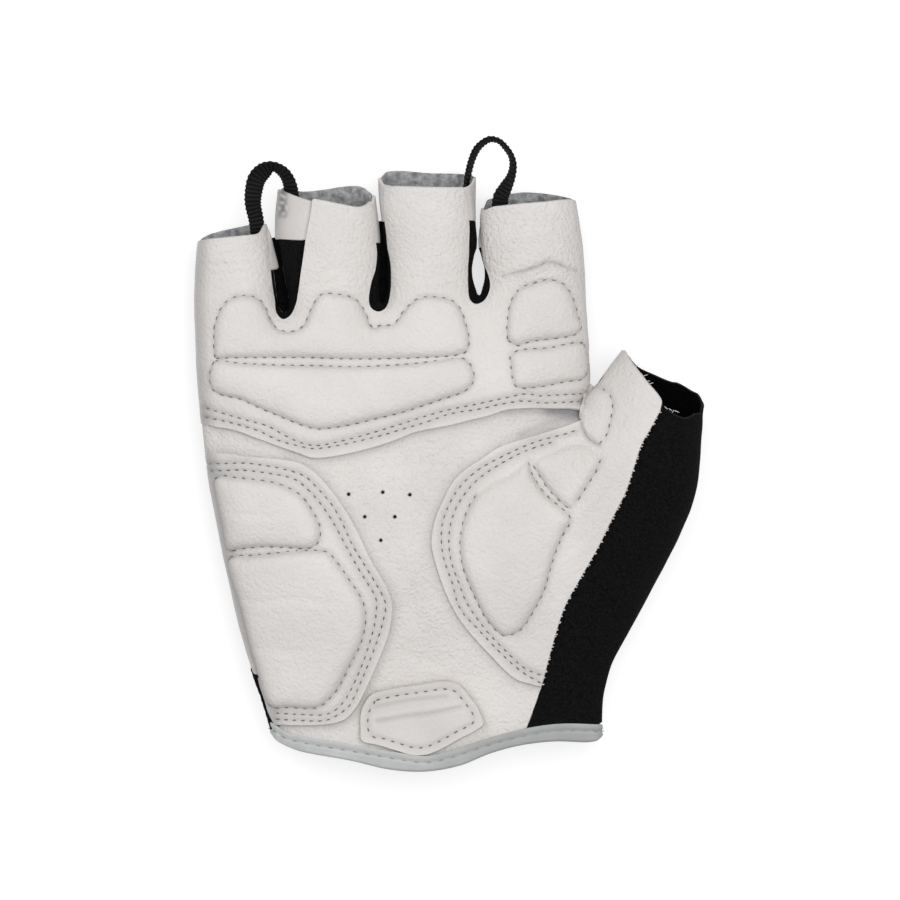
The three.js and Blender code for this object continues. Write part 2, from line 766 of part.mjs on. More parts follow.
// Side walls of the finger stalls: a black wall round each slot's root, and a white band each side above it.
const slots = [
  {
    wallName: "little_ring_fourchette",
    bandNames: ["little_inner_band", "ring_outer_band"],
    bandsPx: [[228, 269], [192, 242]],
    middlePx: [[271, 150], [272, 224], [274, 242], [278, 264], [281, 285]],
  },
  {
    wallName: "ring_middle_fourchette",
    bandNames: ["ring_inner_band", "middle_outer_band"],
    bandsPx: [[199, 243], [181, 222]],
    middlePx: [[376.5, 150], [377, 205], [381, 228], [383, 244], [384, 262]],
  },
  {
    wallName: "middle_index_fourchette",
    bandNames: ["middle_inner_band", "index_outer_band"],
    bandsPx: [[181, 221], [209, 247]],
    middlePx: [[479, 140], [478.5, 200], [478.5, 225], [477.5, 240], [477, 254]],
  },
];
const aboveRimsPx = 60;

function bandOutline(slot, isLeft, topY, endY) {
  const far = (isLeft ? -1 : 1) * overrun;
  const row = line(slot.middlePx, padStep / 2).filter((p) => p.y < topY && p.y > endY);
  const first = row[0];
  const last = row[row.length - 1];
  return [
    new THREE.Vector3(first.x, topY, 0),
    ...row,
    new THREE.Vector3(last.x, endY, 0),
    new THREE.Vector3(last.x + far, endY, 0),
    new THREE.Vector3(first.x + far, topY, 0),
  ];
}

function slotPieces(slot, i) {
  const edge = shifted(line(slotEdgesPx[i], padStep / 2), clearance);
  const [start, end] = [edge[0], edge[edge.length - 1]];
  const top = place([0, aboveRimsPx]).y;
  const outline = [new THREE.Vector3(start.x, top, 0), ...edge, new THREE.Vector3(end.x, top, 0)];
  const zone = sheet(outline, upper, wallFace, wallBack);
  let wall = zone;
  const bands = slot.bandsPx.map(([topPx, endPx], k) => {
    const isLeft = k === 0;
    const topY = place([0, topPx]).y;
    const endY = place([0, endPx]).y;
    wall = wall.subtract(cutter(bandOutline(slot, isLeft, top, endY - clearance)));
    return zone.intersect(cutter(bandOutline(slot, isLeft, topY, endY)));
  });
  return { wall, bands };
}

// Black side of the thumb: the stripe seen from the palm, the outer wall and the thumb's back in one piece.
function thumbSide() {
  const palmPart = cutter(outlines.stripe).intersect(upperFull);
  const backPart = cutter(outlines.thumbBack).intersect(lowerFull);
  return wallFace.intersect(palmPart.add(backPart)).subtract(wallBack);
}

// Closure on the back of the wrist: a slit in the cuff, and a tab over it with hooks that grip a loop patch.
const slitPx = [455, 771];
const patchGap = 0.3;
const loopPatchThickness = 0.6;
const hookThickness = 0.6;
const tabThickness = 0.9;
const tabRootPx = 500;
const tabFoldPx = 486;
const tabEndPx = 322;
const tabTopPx = 668;
const tabFootPx = 732;
const hookStartPx = 400;
const hookEndPx = 336;
const loopStartPx = 428;
const loopEndPx = 330;
const closureBorder = 2.5;
const cornerShare = 0.25;
const foldRise = 5;
const foldGap = 0.6;

const slitMiddle = place(slitPx);
const hookDepth = -(patchGap + loopPatchThickness + patchGap);
const tabInner = hookDepth - hookThickness - patchGap;

function slit() {
  const side = slitWidth / 2;
  const top = slitMiddle.y + slitLength;
  const outline = [
    new THREE.Vector3(slitMiddle.x - side, slitMiddle.y - overrun, 0),
    new THREE.Vector3(slitMiddle.x + side, slitMiddle.y - overrun, 0),
    new THREE.Vector3(slitMiddle.x + side, top, 0),
    new THREE.Vector3(slitMiddle.x, top + side, 0),
    new THREE.Vector3(slitMiddle.x - side, top, 0),
  ];
  return cutter(outline).intersect(lowerFull);
}

// A rectangle of the pattern with its left corners cut round.
function closureOutline(leftPx, rightPx, border) {
  const a = place([leftPx, tabTopPx]);
  const c = place([rightPx, tabFootPx]);
  const top = a.y - border;
  const foot = c.y + border;
  const cut = (top - foot) * cornerShare;
  return [
    new THREE.Vector3(c.x, foot, 0),
    new THREE.Vector3(c.x, top, 0),
    new THREE.Vector3(a.x + cut, top, 0),
    new THREE.Vector3(a.x, top - cut, 0),
    new THREE.Vector3(a.x, foot + cut, 0),
    new THREE.Vector3(a.x + cut, foot, 0),
  ];
}

function closure() {
  const fold = place([tabFoldPx, 0]).x;
  const rising = (depth) =>
    body(wide, ({ x }) => {
      const share = smooth(fold, fold - foldRise, x);
      return patchGap - (patchGap + tabInner) * share + depth;
    });
  const inner = rising(0);
  const outer = rising(tabThickness);
  const flapOutline = closureOutline(tabEndPx, tabFoldPx, 0);
  const loopOutline = closureOutline(loopEndPx, loopStartPx, closureBorder);
  const hookOutline = closureOutline(hookEndPx, hookStartPx, closureBorder);
  const corner = place([tabRootPx, tabTopPx]);
  const foot = place([tabRootPx, tabFootPx]).y;
  const rootOutline = [
    new THREE.Vector3(fold + foldGap, foot, 0),
    new THREE.Vector3(corner.x, foot, 0),
    new THREE.Vector3(corner.x, corner.y, 0),
    new THREE.Vector3(fold + foldGap, corner.y, 0),
  ];
  const loopFace = plain(wide, -patchGap - loopPatchThickness);
  const hookFace = plain(wide, hookDepth - hookThickness);
  return {
    closure_loop_patch: sheet(loopOutline, lower, loopFace, plain(wide, -patchGap)),
    closure_hook_patch: sheet(hookOutline, lower, hookFace, plain(wide, hookDepth)),
    closure_tab: sheet(flapOutline, lower, outer, inner),
    closure_tab_root: sheet(rootOutline, lower, outer, inner),
  };
}

// Pull loops: webbing from one finger stall to the next. Lifts are shares of the webbing's width over the
// middle height, turns are degrees about its run.
const webWidth = 4.5;
const webThickness = 1;
const webStep = 2.2;
const tailLength = 6.5;
const pullLoops = {
  left: {
    fingers: ["little", "ring"],
    coursePx: [
      [253.5, 236], [253, 215], [253, 197], [258, 180], [268, 168.5], [279, 169], [288, 180], [292, 197],
    ],
    liftShares: [0.18, 0.31, 0.44, 0.53, 0.53, 0.49, 0.4, 0.22],
    turns: [0, 5, 12, 28, 42, 46, 34, 20],
  },
  right: {
    fingers: ["middle", "index"],
    coursePx: [
      [463.5, 180], [471, 166], [476, 151], [484, 142], [494, 139.5], [504, 145], [511.5, 158], [511, 176],
      [505, 192], [500, 207],
    ],
    liftShares: [0.15, 0.09, 0.22, 0.36, 0.49, 0.58, 0.62, 0.62, 0.53, 0.44],
    turns: [86, 76, 74, 78, 80, 72, 58, 40, 20, 8],
  },
};
const tailGaps = { little: 0.5, ring: 1.1, middle: 1.8, index: 0.9 };
const webCorners = [[1, 1], [-1, 1], [-1, -1], [1, -1]];

// A strap through sections of four corners each, closed at both ends.
function strap(sections) {
  const vertices = sections.flat().flatMap((p) => [p.x, p.y, p.z]);
  const sides = webCorners.length;
  const faces = [];
  for (let i = 0; i + 1 < sections.length; i++) {
    for (let k = 0; k < sides; k++) {
      const next = (k + 1) % sides;
      const [a, b, c, d] = [k, next, k + sides, next + sides].map((n) => n + sides * i);
      faces.push(a, b, c, b, d, c);
    }
  }
  const end = sides * (sections.length - 1);
  faces.push(0, 2, 1, 0, 3, 2, end, end + 1, end + 2, end, end + 2, end + 3);
  const geometry = new THREE.BufferGeometry();
  geometry.setAttribute("position", new THREE.Float32BufferAttribute(vertices, 3));
  geometry.setIndex(faces);
  return solidOf(geometry);
}

function webbing(coursePx, liftShares, turns) {
  const points = coursePx.map((px, i) => {
    const p = place(px);
    return p.setZ(middle(p.x, p.y) + liftShares[i] * webWidth);
  });
  const run = new THREE.CatmullRomCurve3(points, false, "centripetal");
  const turning = new THREE.SplineCurve(turns.map((turn, i) => new THREE.Vector2(i, turn)));
  const count = Math.max(1, Math.round(run.getLength() / webStep));
  const sections = [];
  for (let i = 0; i <= count; i++) {
    const centre = run.getPoint(i / count);
    const along = run.getTangent(i / count);
    const turn = THREE.MathUtils.degToRad(turning.getPoint(i / count).y);
    const sideways = new THREE.Vector3(0, 0, 1).cross(along).normalize().applyAxisAngle(along, turn);
    const out = along.clone().cross(sideways).normalize();
    sections.push(webCorners.map(([u, v]) => {
      const p = centre.clone();
      p.addScaledVector(sideways, (u * webWidth) / 2);
      return p.addScaledVector(out, (v * webThickness) / 2);
    }));
  }
  return strap(sections);
}

// Sewn end of a loop inside a stall, in line with the finger below the loop's own end.
function tail([px, py], liftShare, turn, gap) {
  const start = py + gap / yScale;
  const run = [[px, start], [px, start + tailLength / yScale]];
  return webbing(run, [liftShare, liftShare], [turn, turn]);
}

// Binding of the cuff: one strap right round it, from one side of the slit to the other. Its two rows of
// places on the palm serve the back too.
function across(row, x) {
  const i = row.findIndex((p, k) => k > 0 && p.x >= x);
  const [a, b] = i < 0 ? row.slice(-2) : [row[i - 1], row[i]];
  return a.y + ((b.y - a.y) * (x - a.x)) / (b.x - a.x);
}

function sideX(sideRow, y) {
  const i = sideRow.findIndex((p, k) => k > 0 && (p.y - y) * (sideRow[k - 1].y - y) <= 0);
  const [a, b] = [sideRow[i - 1], sideRow[i]];
  return a.x + ((b.x - a.x) * (y - a.y)) / (b.y - a.y);
}

function cuffRow(pixels) {
  const row = line(pixels, padStep);
  const left = sideX(fineSides[0], row[0].y);
  const right = sideX(fineSides.at(-1), row.at(-1).y);
  const centre = (left + right) / 2;
  const reach = (right - left) / 2;
  const at = (turn) => {
    const x = centre + reach * Math.cos(turn);
    const y = across(row, x);
    const z = middle(x, y) + Math.sign(Math.sin(turn)) * halfThickness(x, y);
    return new THREE.Vector3(x, y, z);
  };
  const moved = (turn, out, distance) => {
    const p = at(turn).addScaledVector(out, distance);
    return p.setY(across(row, p.x));
  };
  return { at, moved };
}

function slitTurn(x) {
  const left = sideX(fineSides[0], cuffY);
  const right = sideX(fineSides.at(-1), cuffY);
  return Math.acos((x - (left + right) / 2) / ((right - left) / 2));
}

function cuffBinding() {
  const rows = [bindingTopPx, bindingEndPx].map(cuffRow);
  const from = -slitTurn(slitMiddle.x + slitWidth / 2);
  const to = 2 * Math.PI - slitTurn(slitMiddle.x - slitWidth / 2);
  const count = 2 * Math.round(palmWidth / bindingStep);
  const sections = [];
  for (let i = 0; i <= count; i++) {
    const turn = from + ((to - from) * i) / count;
    const nudge = (to - from) / count / 2;
    const depth = bindingBackDepth + (bindingDepth - bindingBackDepth) * smooth(0, 1, Math.sin(turn));
    const [top, end] = rows.map((row) => {
      const run = row.at(turn + nudge).sub(row.at(turn - nudge));
      const out = new THREE.Vector3(run.z, 0, -run.x).normalize();
      return [row.moved(turn, out, bindingRise), row.moved(turn, out, -depth)];
    });
    sections.push([top[0], top[1], end[1], end[0]]);
  }
  return strap(sections);
}

// Colours, as seen on the glove.
const white = { color: "#dedad7", roughness: 0.62, metalness: 0 };
const whiteEdge = { color: "#cfcbc9", roughness: 0.7, metalness: 0 };
const black = { color: "#181818", roughness: 0.95, metalness: 0 };
const grey = { color: "#858789", roughness: 0.95, metalness: 0 };
const foam = { color: "#e8e4da", roughness: 0.9, metalness: 0 };
const tape = { color: "#b2b5b3", roughness: 0.75, metalness: 0 };

const glove = new THREE.Group();
glove.name = "fingerless_cycling_glove";

// Cuts leave slivers: edges under leastEdge are closed up, and a corner within leastHeight of the far edge is
// turned over it.
const leastEdge = 0.03;
const leastHeight = 0.01;
const tidyRounds = 6;

function closeUp(points, faces) {
  const owner = points.map((_, i) => i);
  const find = (i) => (owner[i] === i ? i : find(owner[i]));
  for (const face of faces) {
    face.forEach((a, k) => {
      const [p, q] = [find(a), find(face[(k + 1) % 3])];
      if (p !== q && points[p].distanceTo(points[q]) < leastEdge) owner[Math.max(p, q)] = Math.min(p, q);
    });
  }
  const kept = new Map();
  for (const face of faces.map((f) => f.map(find))) {
    if (new Set(face).size < 3) continue;
    const key = [...face].sort((a, b) => a - b).join();
    if (!kept.delete(key)) kept.set(key, face);
  }
  return [...kept.values()];
}

function turnCorners(points, faces) {
  const owners = new Map();
  faces.forEach((f, i) => f.forEach((a, k) => owners.set(a + "," + f[(k + 1) % 3], i)));
  const touched = new Set();
  faces.forEach((face, i) => {
    const sides = face.map((a, k) => points[a].distanceTo(points[face[(k + 1) % 3]]));
    const k = sides.indexOf(Math.max(...sides));
    const [a, b, c] = [face[k], face[(k + 1) % 3], face[(k + 2) % 3]];
    const height = (2 * new THREE.Triangle(points[a], points[b], points[c]).getArea()) / sides[k];
    const j = owners.get(b + "," + a);
    if (height > leastHeight || j === undefined) return;
    if (touched.has(i) || touched.has(j)) return;
    const d = faces[j].find((v) => v !== a && v !== b);
    if (owners.has(c + "," + d) || owners.has(d + "," + c)) return;
    faces[i] = [a, d, c];
    faces[j] = [d, b, c];
    touched.add(i).add(j);
  });
}

function tidied({ vertProperties, triVerts }) {
  const points = [];
  for (let i = 0; i < vertProperties.length; i += 3) {
    points.push(new THREE.Vector3().fromArray(vertProperties, i));
  }
  let faces = [];
  for (let i = 0; i < triVerts.length; i += 3) {
    faces.push([...triVerts.slice(i, i + 3)]);
  }
  for (let round = 0; round < tidyRounds; round++) {
    faces = closeUp(points, faces);
    turnCorners(points, faces);
  }
  const geometry = new THREE.BufferGeometry().setFromPoints(faces.flat().map((i) => points[i]));
  return mergeVertices(geometry);
}

function addPiece(name, solid, look) {
  const geometry = tidied(solid.getMesh());
  geometry.computeVertexNormals();
  const mesh = new THREE.Mesh(geometry, new THREE.MeshStandardMaterial(look));
  mesh.name = name;
  glove.add(mesh);
}

// The palm side: leather panels, the pads under them and the lining.
addPiece("finger_palm_panel", sheet(outlines.knuckle, upper, outerFace, leatherBack), white);
addPiece("palm_centre_panel", palmPanel(), white);
addPiece("heel_panel", sheet(outlines.heel, upper, outerFace, leatherBack), white);
addPiece("thumb_palm_panel", sheet(outlines.thumb, upper, outerFace, leatherBack), white);
addPiece("wrist_patch", wristPatch(), whiteEdge);
for (const [name, pad] of Object.entries(pads)) {
  addPiece(name, sheet(inset(pad.edge, padInset), crest, padCeiling, padFloor), foam);
}
const liningOutline = line(liningPx, skinStep, true);
addPiece("palm_lining", sheet(liningOutline, crest, plain(fine, liningTop), plain(fine, liningDepth)), grey);

// Between the fingers, round the thumb, and the back.
slots.forEach((slot, i) => {
  const { wall, bands } = slotPieces(slot, i);
  addPiece(slot.wallName, wall, black);
  bands.forEach((band, k) => addPiece(slot.bandNames[k], band, whiteEdge));
});
addPiece("thumb_side_panel", thumbSide(), black);
addPiece("back_panel", sheet(outlines.back, lower, backFace, backInside).subtract(slit()), black);

addPiece("cuff_binding", cuffBinding(), tape);
for (const [name, solid] of Object.entries(closure())) addPiece(name, solid, black);

// The pull loops and their sewn ends.
for (const [side, { fingers, coursePx, liftShares, turns }] of Object.entries(pullLoops)) {
  addPiece(side + "_pull_loop", webbing(coursePx, liftShares, turns), black);
  const ends = [0, coursePx.length - 1];
  ends.forEach((end, k) => {
    const finger = fingers[k];
    const sewn = tail(coursePx[end], liftShares[end], turns[end], tailGaps[finger]);
    addPiece(finger + "_loop_tail", sewn, black);
  });
}

export default glove;
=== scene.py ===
import json
import math

import bpy
import numpy as np
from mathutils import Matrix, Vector, kdtree
from mathutils.geometry import delaunay_2d_cdt


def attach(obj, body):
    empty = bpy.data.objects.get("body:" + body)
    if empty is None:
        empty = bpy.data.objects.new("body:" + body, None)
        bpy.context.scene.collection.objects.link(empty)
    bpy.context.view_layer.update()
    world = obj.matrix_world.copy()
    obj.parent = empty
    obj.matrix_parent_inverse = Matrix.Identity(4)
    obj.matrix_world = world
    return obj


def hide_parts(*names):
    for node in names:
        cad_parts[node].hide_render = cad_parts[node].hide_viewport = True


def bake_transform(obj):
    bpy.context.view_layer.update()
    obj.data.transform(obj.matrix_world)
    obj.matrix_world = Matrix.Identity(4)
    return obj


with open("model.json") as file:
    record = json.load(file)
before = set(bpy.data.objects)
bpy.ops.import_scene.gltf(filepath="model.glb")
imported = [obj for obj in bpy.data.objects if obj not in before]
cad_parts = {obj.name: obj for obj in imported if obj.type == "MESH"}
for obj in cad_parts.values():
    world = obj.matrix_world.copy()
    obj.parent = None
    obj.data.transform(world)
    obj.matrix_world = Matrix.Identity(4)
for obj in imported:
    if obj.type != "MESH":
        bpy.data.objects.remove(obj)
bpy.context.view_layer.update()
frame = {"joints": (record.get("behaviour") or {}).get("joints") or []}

# Camera: it looks straight down on the palm through a long lens, as the photograph was taken.
scene = bpy.context.scene
scene.view_settings.view_transform = "Standard"
picture_width = 0.225
camera_height = 2.2
palm_level = 0.012
camera_aim = (0.00025, 0.00094)
lens = bpy.data.cameras.new("camera")
lens.lens = lens.sensor_width * camera_height / picture_width
lens.clip_end = 10
camera = bpy.data.objects.new("camera", lens)
camera.location = (*camera_aim, palm_level + camera_height)
scene.collection.objects.link(camera)
scene.camera = camera

# Light: an even white room, one wide soft lamp above and a weaker one from the upper left.
room = bpy.data.worlds.new("white_room")
scene.world = room
room.use_nodes = True
room_links = room.node_tree.links
room_light = 0.5


def seen_by_camera(tree):
    """One where the camera, a gloss or a clear body looks, zero where light is gathered."""
    path = tree.nodes.new("ShaderNodeLightPath")
    last = path.outputs["Is Camera Ray"]
    for other in ("Is Glossy Ray", "Is Transmission Ray"):
        either = tree.nodes.new("ShaderNodeMath")
        either.operation = "MAXIMUM"
        tree.links.new(last, either.inputs[0])
        tree.links.new(path.outputs[other], either.inputs[1])
        last = either.outputs[0]
    return last


strength = room.node_tree.nodes.new("ShaderNodeMapRange")
strength.inputs["To Min"].default_value = room_light
room_links.new(seen_by_camera(room.node_tree), strength.inputs["Value"])
room_links.new(strength.outputs[0], room.node_tree.nodes["Background"].inputs["Strength"])
room.node_tree.nodes["Background"].inputs["Color"].default_value = (1, 1, 1, 1)


def lamp(name, power, size, place, target):
    light = bpy.data.lights.new(name, "AREA")
    light.energy = power
    light.size = size
    holder = bpy.data.objects.new(name, light)
    holder.location = place
    holder.rotation_euler = (Vector(target) - Vector(place)).to_track_quat("-Z", "Y").to_euler()
    scene.collection.objects.link(holder)


lamp("top_lamp", 7.5, 0.9, (0.2, 0.15, 1.2), (0, 0, 0))
lamp("side_lamp", 1.1, 0.3, (-0.45, 0.55, 0.5), (0, 0, 0.01))

# Floor: a plain pale board; what the camera sees of it is lifted to white and keeps the glove's shadow.
floor_mesh = bpy.data.meshes.new("floor")
floor_mesh.from_pydata([(x, y, -0.0002) for x, y in ((-3, -3), (3, -3), (3, 3), (-3, 3))], [], [(0, 1, 2, 3)])
floor = bpy.data.objects.new("floor", floor_mesh)
scene.collection.objects.link(floor)
floor_finish = bpy.data.materials.new("floor_finish")
floor_finish.use_nodes = True
floor_shader = floor_finish.node_tree.nodes["Principled BSDF"]
floor_shader.inputs["Base Color"].default_value = (0.45, 0.45, 0.45, 1)
floor_shader.inputs["Roughness"].default_value = 0.9
floor_shader.inputs["Specular IOR Level"].default_value = 0.1
floor_shader.inputs["Emission Color"].default_value = (1, 1, 1, 1)
floor_lift = floor_finish.node_tree.nodes.new("ShaderNodeMapRange")
floor_lift.inputs["To Max"].default_value = 0.68
floor_finish.node_tree.links.new(seen_by_camera(floor_finish.node_tree), floor_lift.inputs["Value"])
floor_finish.node_tree.links.new(floor_lift.outputs[0], floor_shader.inputs["Emission Strength"])
floor_mesh.materials.append(floor_finish)

# Leather of the fingers: one thin goatskin panel over the knuckles and four finger stalls, raw at its edges,
# lapped over the palm below it and sewn down with two rows. It is laid over the form of the hand; its outline
# is drawn on the photograph. Lengths here are millimetres until a mesh is made.
mm = 0.001
mm_per_px = 0.25
centrePx = (449, 453.75)
full_half = 12.4
edge_round = 12
middle_height = 10.918
wrist_half = 7.2
wrist_length = 20
wrist_taper = 38
thumb_lift = 6
thumb_lift_length = 34
sideLinesPx = {
    "left": [
        (279, 806), (277, 765), (269, 723), (252, 671), (238, 623), (227, 575), (217, 527), (208, 479),
        (202, 431), (197, 383), (195, 330), (194, 290), (196, 255), (198, 236), (199, 205),
    ],
    "slot_one": [
        (264, 205), (266, 224), (270, 242), (274, 262), (277, 285), (280, 303), (284, 311), (287, 303),
        (284, 285), (280, 262), (277, 242), (275, 224), (276, 200), (279, 160),
    ],
    "slot_two": [
        (374, 160), (375, 195), (377, 212), (379, 228), (380, 244), (381, 262), (380, 283), (380, 295),
        (382.5, 302), (385.5, 295), (387, 282), (386.5, 262), (385, 244), (383, 228), (380, 205),
        (379, 195), (378, 145),
    ],
    "slot_three": [
        (477, 145), (476.5, 200), (476, 225), (475.5, 240), (474.5, 254), (474, 268), (475, 281),
        (477, 290), (479, 295), (481, 290), (482.5, 281), (482.5, 269), (481, 256), (480, 240),
        (479.8, 225), (481, 175),
    ],
    "crotch": [
        (573, 170), (576, 200), (579, 220), (582, 239), (585, 271), (586, 303), (589, 343), (590.5, 367),
        (590, 383), (587, 396), (586, 405), (590, 397), (595, 386), (608, 367), (620, 351), (634, 330),
        (646, 312),
    ],
    "right": [
        (728, 362), (715, 384), (704, 407), (702, 431), (700, 460), (697, 487), (691, 508), (680, 535),
        (656, 583), (630, 631), (613, 663), (606, 687), (602, 711), (602, 730), (603, 765), (604, 806),
    ],
}


def place(px):
    return (np.asarray(px, float) - centrePx) * (mm_per_px, -mm_per_px)


def plan_y(*rowsPx):
    """Where rows of the photograph lie on the plan."""
    return place([(0, row) for row in rowsPx])[:, 1]


def spline(points, closed=False, per=12):
    """A smooth run through points."""
    p = np.asarray(points, float)
    ends = (p[-1], p[:2]) if closed else (2 * p[0] - p[1], 2 * p[-1] - p[-2])
    ring = np.vstack([ends[0], p, ends[1]])
    t = (np.arange(per) / per)[:, None]
    out = []
    for a, b, c, d in zip(ring, ring[1:], ring[2:], ring[3:]):
        ab, bc, cd = (max(np.linalg.norm(v[:3]) ** 0.5, 1e-4) for v in (b - a, c - b, d - c))
        m = bc * ((b - a) / ab - (c - a) / (ab + bc) + (c - b) / bc)
        n = bc * ((c - b) / bc - (d - b) / (bc + cd) + (d - c) / cd)
        out.append(b + t * m + t**2 * (3 * (c - b) - 2 * m - n) + t**3 * (2 * (b - c) + m + n))
    return np.vstack(out + [p[:1] if closed else p[-1:]])


def even(points, step, closed=False):
    """The same run with a place about every step."""
    far = np.r_[0, np.cumsum(np.linalg.norm(np.diff(points, axis=0), axis=1))]
    count = max(1, round(far[-1] / step))
    wanted = np.linspace(0, far[-1], count + 1)
    made = np.stack([np.interp(wanted, far, points[:, k]) for k in range(points.shape[1])], 1)
    return made[:-1] if closed else made


def course(px, step, closed=False):
    return even(spline(place(px), closed), step, closed)


def smooth(start, end, value):
    t = np.clip((value - start) / (end - start), 0, 1)
    return t * t * (3 - 2 * t)


def row_distance(points, row):
    """Distance of points to a row; positive on its right, where the glove lies."""
    start, run = row[:-1], np.diff(row, axis=0)
    length = (run * run).sum(1)
    out = np.empty(len(points))
    for k in range(0, len(points), 4000):
        gap = points[k:k + 4000, None] - start
        t = np.clip((gap * run).sum(2) / length, 0, 1)
        gap = gap - t[..., None] * run
        far = (gap * gap).sum(2)
        side = gap[..., 0] * run[:, 1] - gap[..., 1] * run[:, 0]
        i = (far - 1e-4 * side**2 / length).argmin(1)[:, None]
        far, side = np.take_along_axis(far, i, 1)[:, 0], np.take_along_axis(side, i, 1)[:, 0]
        out[k:k + 4000] = np.sqrt(far) * np.where(side >= 0, 1, -1)
    return out


side_lines = {name: course(px, 0.6) for name, px in sideLinesPx.items()}
grid_step = 0.5
grid_low = np.array([-72.0, -92.0])
grid_count = (289, 369)
grid_axes = [low + grid_step * np.arange(count) for low, count in zip(grid_low, grid_count)]
grid_points = np.stack(np.meshgrid(*grid_axes, indexing="ij"), -1).reshape(-1, 2)
fields = np.stack([row_distance(grid_points, row).reshape(grid_count) for row in side_lines.values()])
reach_field = fields.min(0)[None]
slope_field = np.stack(np.gradient(reach_field[0], grid_step))


def read(field, points):
    """Values of a stack of fields at points, one row each."""
    at = np.clip((points - grid_low) / grid_step, 0, np.array(grid_count) - 1.001)
    i, j = np.floor(at).astype(int).T
    u, v = (at - np.floor(at)).T
    return (field[:, i, j] * (1 - u) * (1 - v) + field[:, i + 1, j] * u * (1 - v)
            + field[:, i, j + 1] * (1 - u) * v + field[:, i + 1, j + 1] * u * v)


cuff_y = place((425, 771))[1]
thumb_root = place((560, 560))
thumb_axis = place((664, 380)) - thumb_root
thumb_axis = thumb_axis / np.linalg.norm(thumb_axis)


def half_thickness(p, nearest):
    """Half the glove's thickness at plan places; nearest is how far each is from its side line."""
    depth = np.abs(read(fields, p))
    depth[depth.argmin(0), np.arange(len(p))] = nearest
    soft = 1 / np.sqrt((1 / np.maximum(depth, 1e-9) ** 2).sum(0))
    start = cuff_y + wrist_length
    taper = 1 - (1 - wrist_half / full_half) * smooth(start + wrist_taper, start, p[:, 1])
    return full_half * taper * np.sqrt(1 - np.exp(-soft / edge_round))


def middle(p):
    gap = p - thumb_root
    across = gap[:, 0] * thumb_axis[1] - gap[:, 1] * thumb_axis[0]
    rise = smooth(0, thumb_lift_length, gap @ thumb_axis) * smooth(-thumb_lift_length / 2, 0, across)
    return middle_height + thumb_lift * rise


# The skin is drawn unrolled: beside a side line a place is as far from it as the surface is long.
roll = full_half**2 / edge_round
flat_from, flat_to = 2, 8.5
reach_steps = np.linspace(0, 12, 600)


def rolled_in(reach):
    return reach - roll * reach / (reach + roll) * (1 - smooth(flat_from, flat_to, reach))


def slopes(points):
    slope = read(slope_field, points).T
    return slope / np.maximum(np.linalg.norm(slope, axis=1), 1e-6)[:, None]


def unroll(p):
    depth = np.clip(read(reach_field, p)[0], 0, 12)
    return p + slopes(p) * (np.interp(depth, rolled_in(reach_steps), reach_steps) - depth)[:, None]


def on_skin(foot, slope, reach, side):
    """Plan place and point of the skin at a reach from a side line; below zero it is round the edge."""
    depth = rolled_in(np.abs(reach))
    p = foot + slope * depth[:, None]
    level = middle(p) + side * np.where(reach < 0, -1, 1) * half_thickness(p, depth)
    return p, np.column_stack([p, level])


def lifted(q, side=1):
    reach = read(reach_field, q)[0]
    slope = slopes(q) * (np.abs(reach) < flat_to)[:, None]
    return on_skin(q - slope * reach[:, None], slope, reach, side)


def right_of(run):
    """Directions square to a run of places, on its right."""
    along = np.gradient(run, axis=0)
    return np.column_stack([along[:, 1], -along[:, 0]]) / np.linalg.norm(along, axis=1)[:, None]


def edge_run(line, from_y_px, to_y_px, reach, step=0.6, part=0):
    """Unrolled places along a side line, between two heights of the photograph, at a reach from it."""
    row = side_lines[line]
    from_y, to_y = plan_y(from_y_px, to_y_px)
    hit = (row[:, 1] >= min(from_y, to_y)) & (row[:, 1] <= max(from_y, to_y))
    starts = np.flatnonzero(np.diff(np.r_[False, hit].astype(int)) == 1)
    start = starts[part]
    end = start + np.argmin(np.r_[hit[start:], False])
    run = even(row[start:end], step)
    amount = reach(run[:, 1]) if callable(reach) else np.full(len(run), float(reach))
    out = run + right_of(run) * amount[:, None]
    return out if (run[0, 1] - run[-1, 1]) * (from_y - to_y) > 0 else out[::-1]


def drawn(px, step=0.6):
    """An outline's part, drawn on the photograph and unrolled."""
    return unroll(course(px, step))


def within(points, outline):
    odd = np.zeros(len(points), bool)
    for (ax, ay), (bx, by) in zip(outline, np.roll(outline, -1, 0)):
        if ay != by:
            hit = (ay > points[:, 1]) != (by > points[:, 1])
            odd ^= hit & (points[:, 0] < (bx - ax) * (points[:, 1] - ay) / (by - ay) + ax)
    return odd


def search_tree(points):
    tree = kdtree.KDTree(len(points))
    for i, p in enumerate(points):
        tree.insert(p, i)
    tree.balance()
    return tree


def far_from(points, others, least):
    tree = search_tree(np.column_stack([others, np.zeros(len(others))]))
    return points[[tree.find((*p, 0))[2] > least for p in points]]


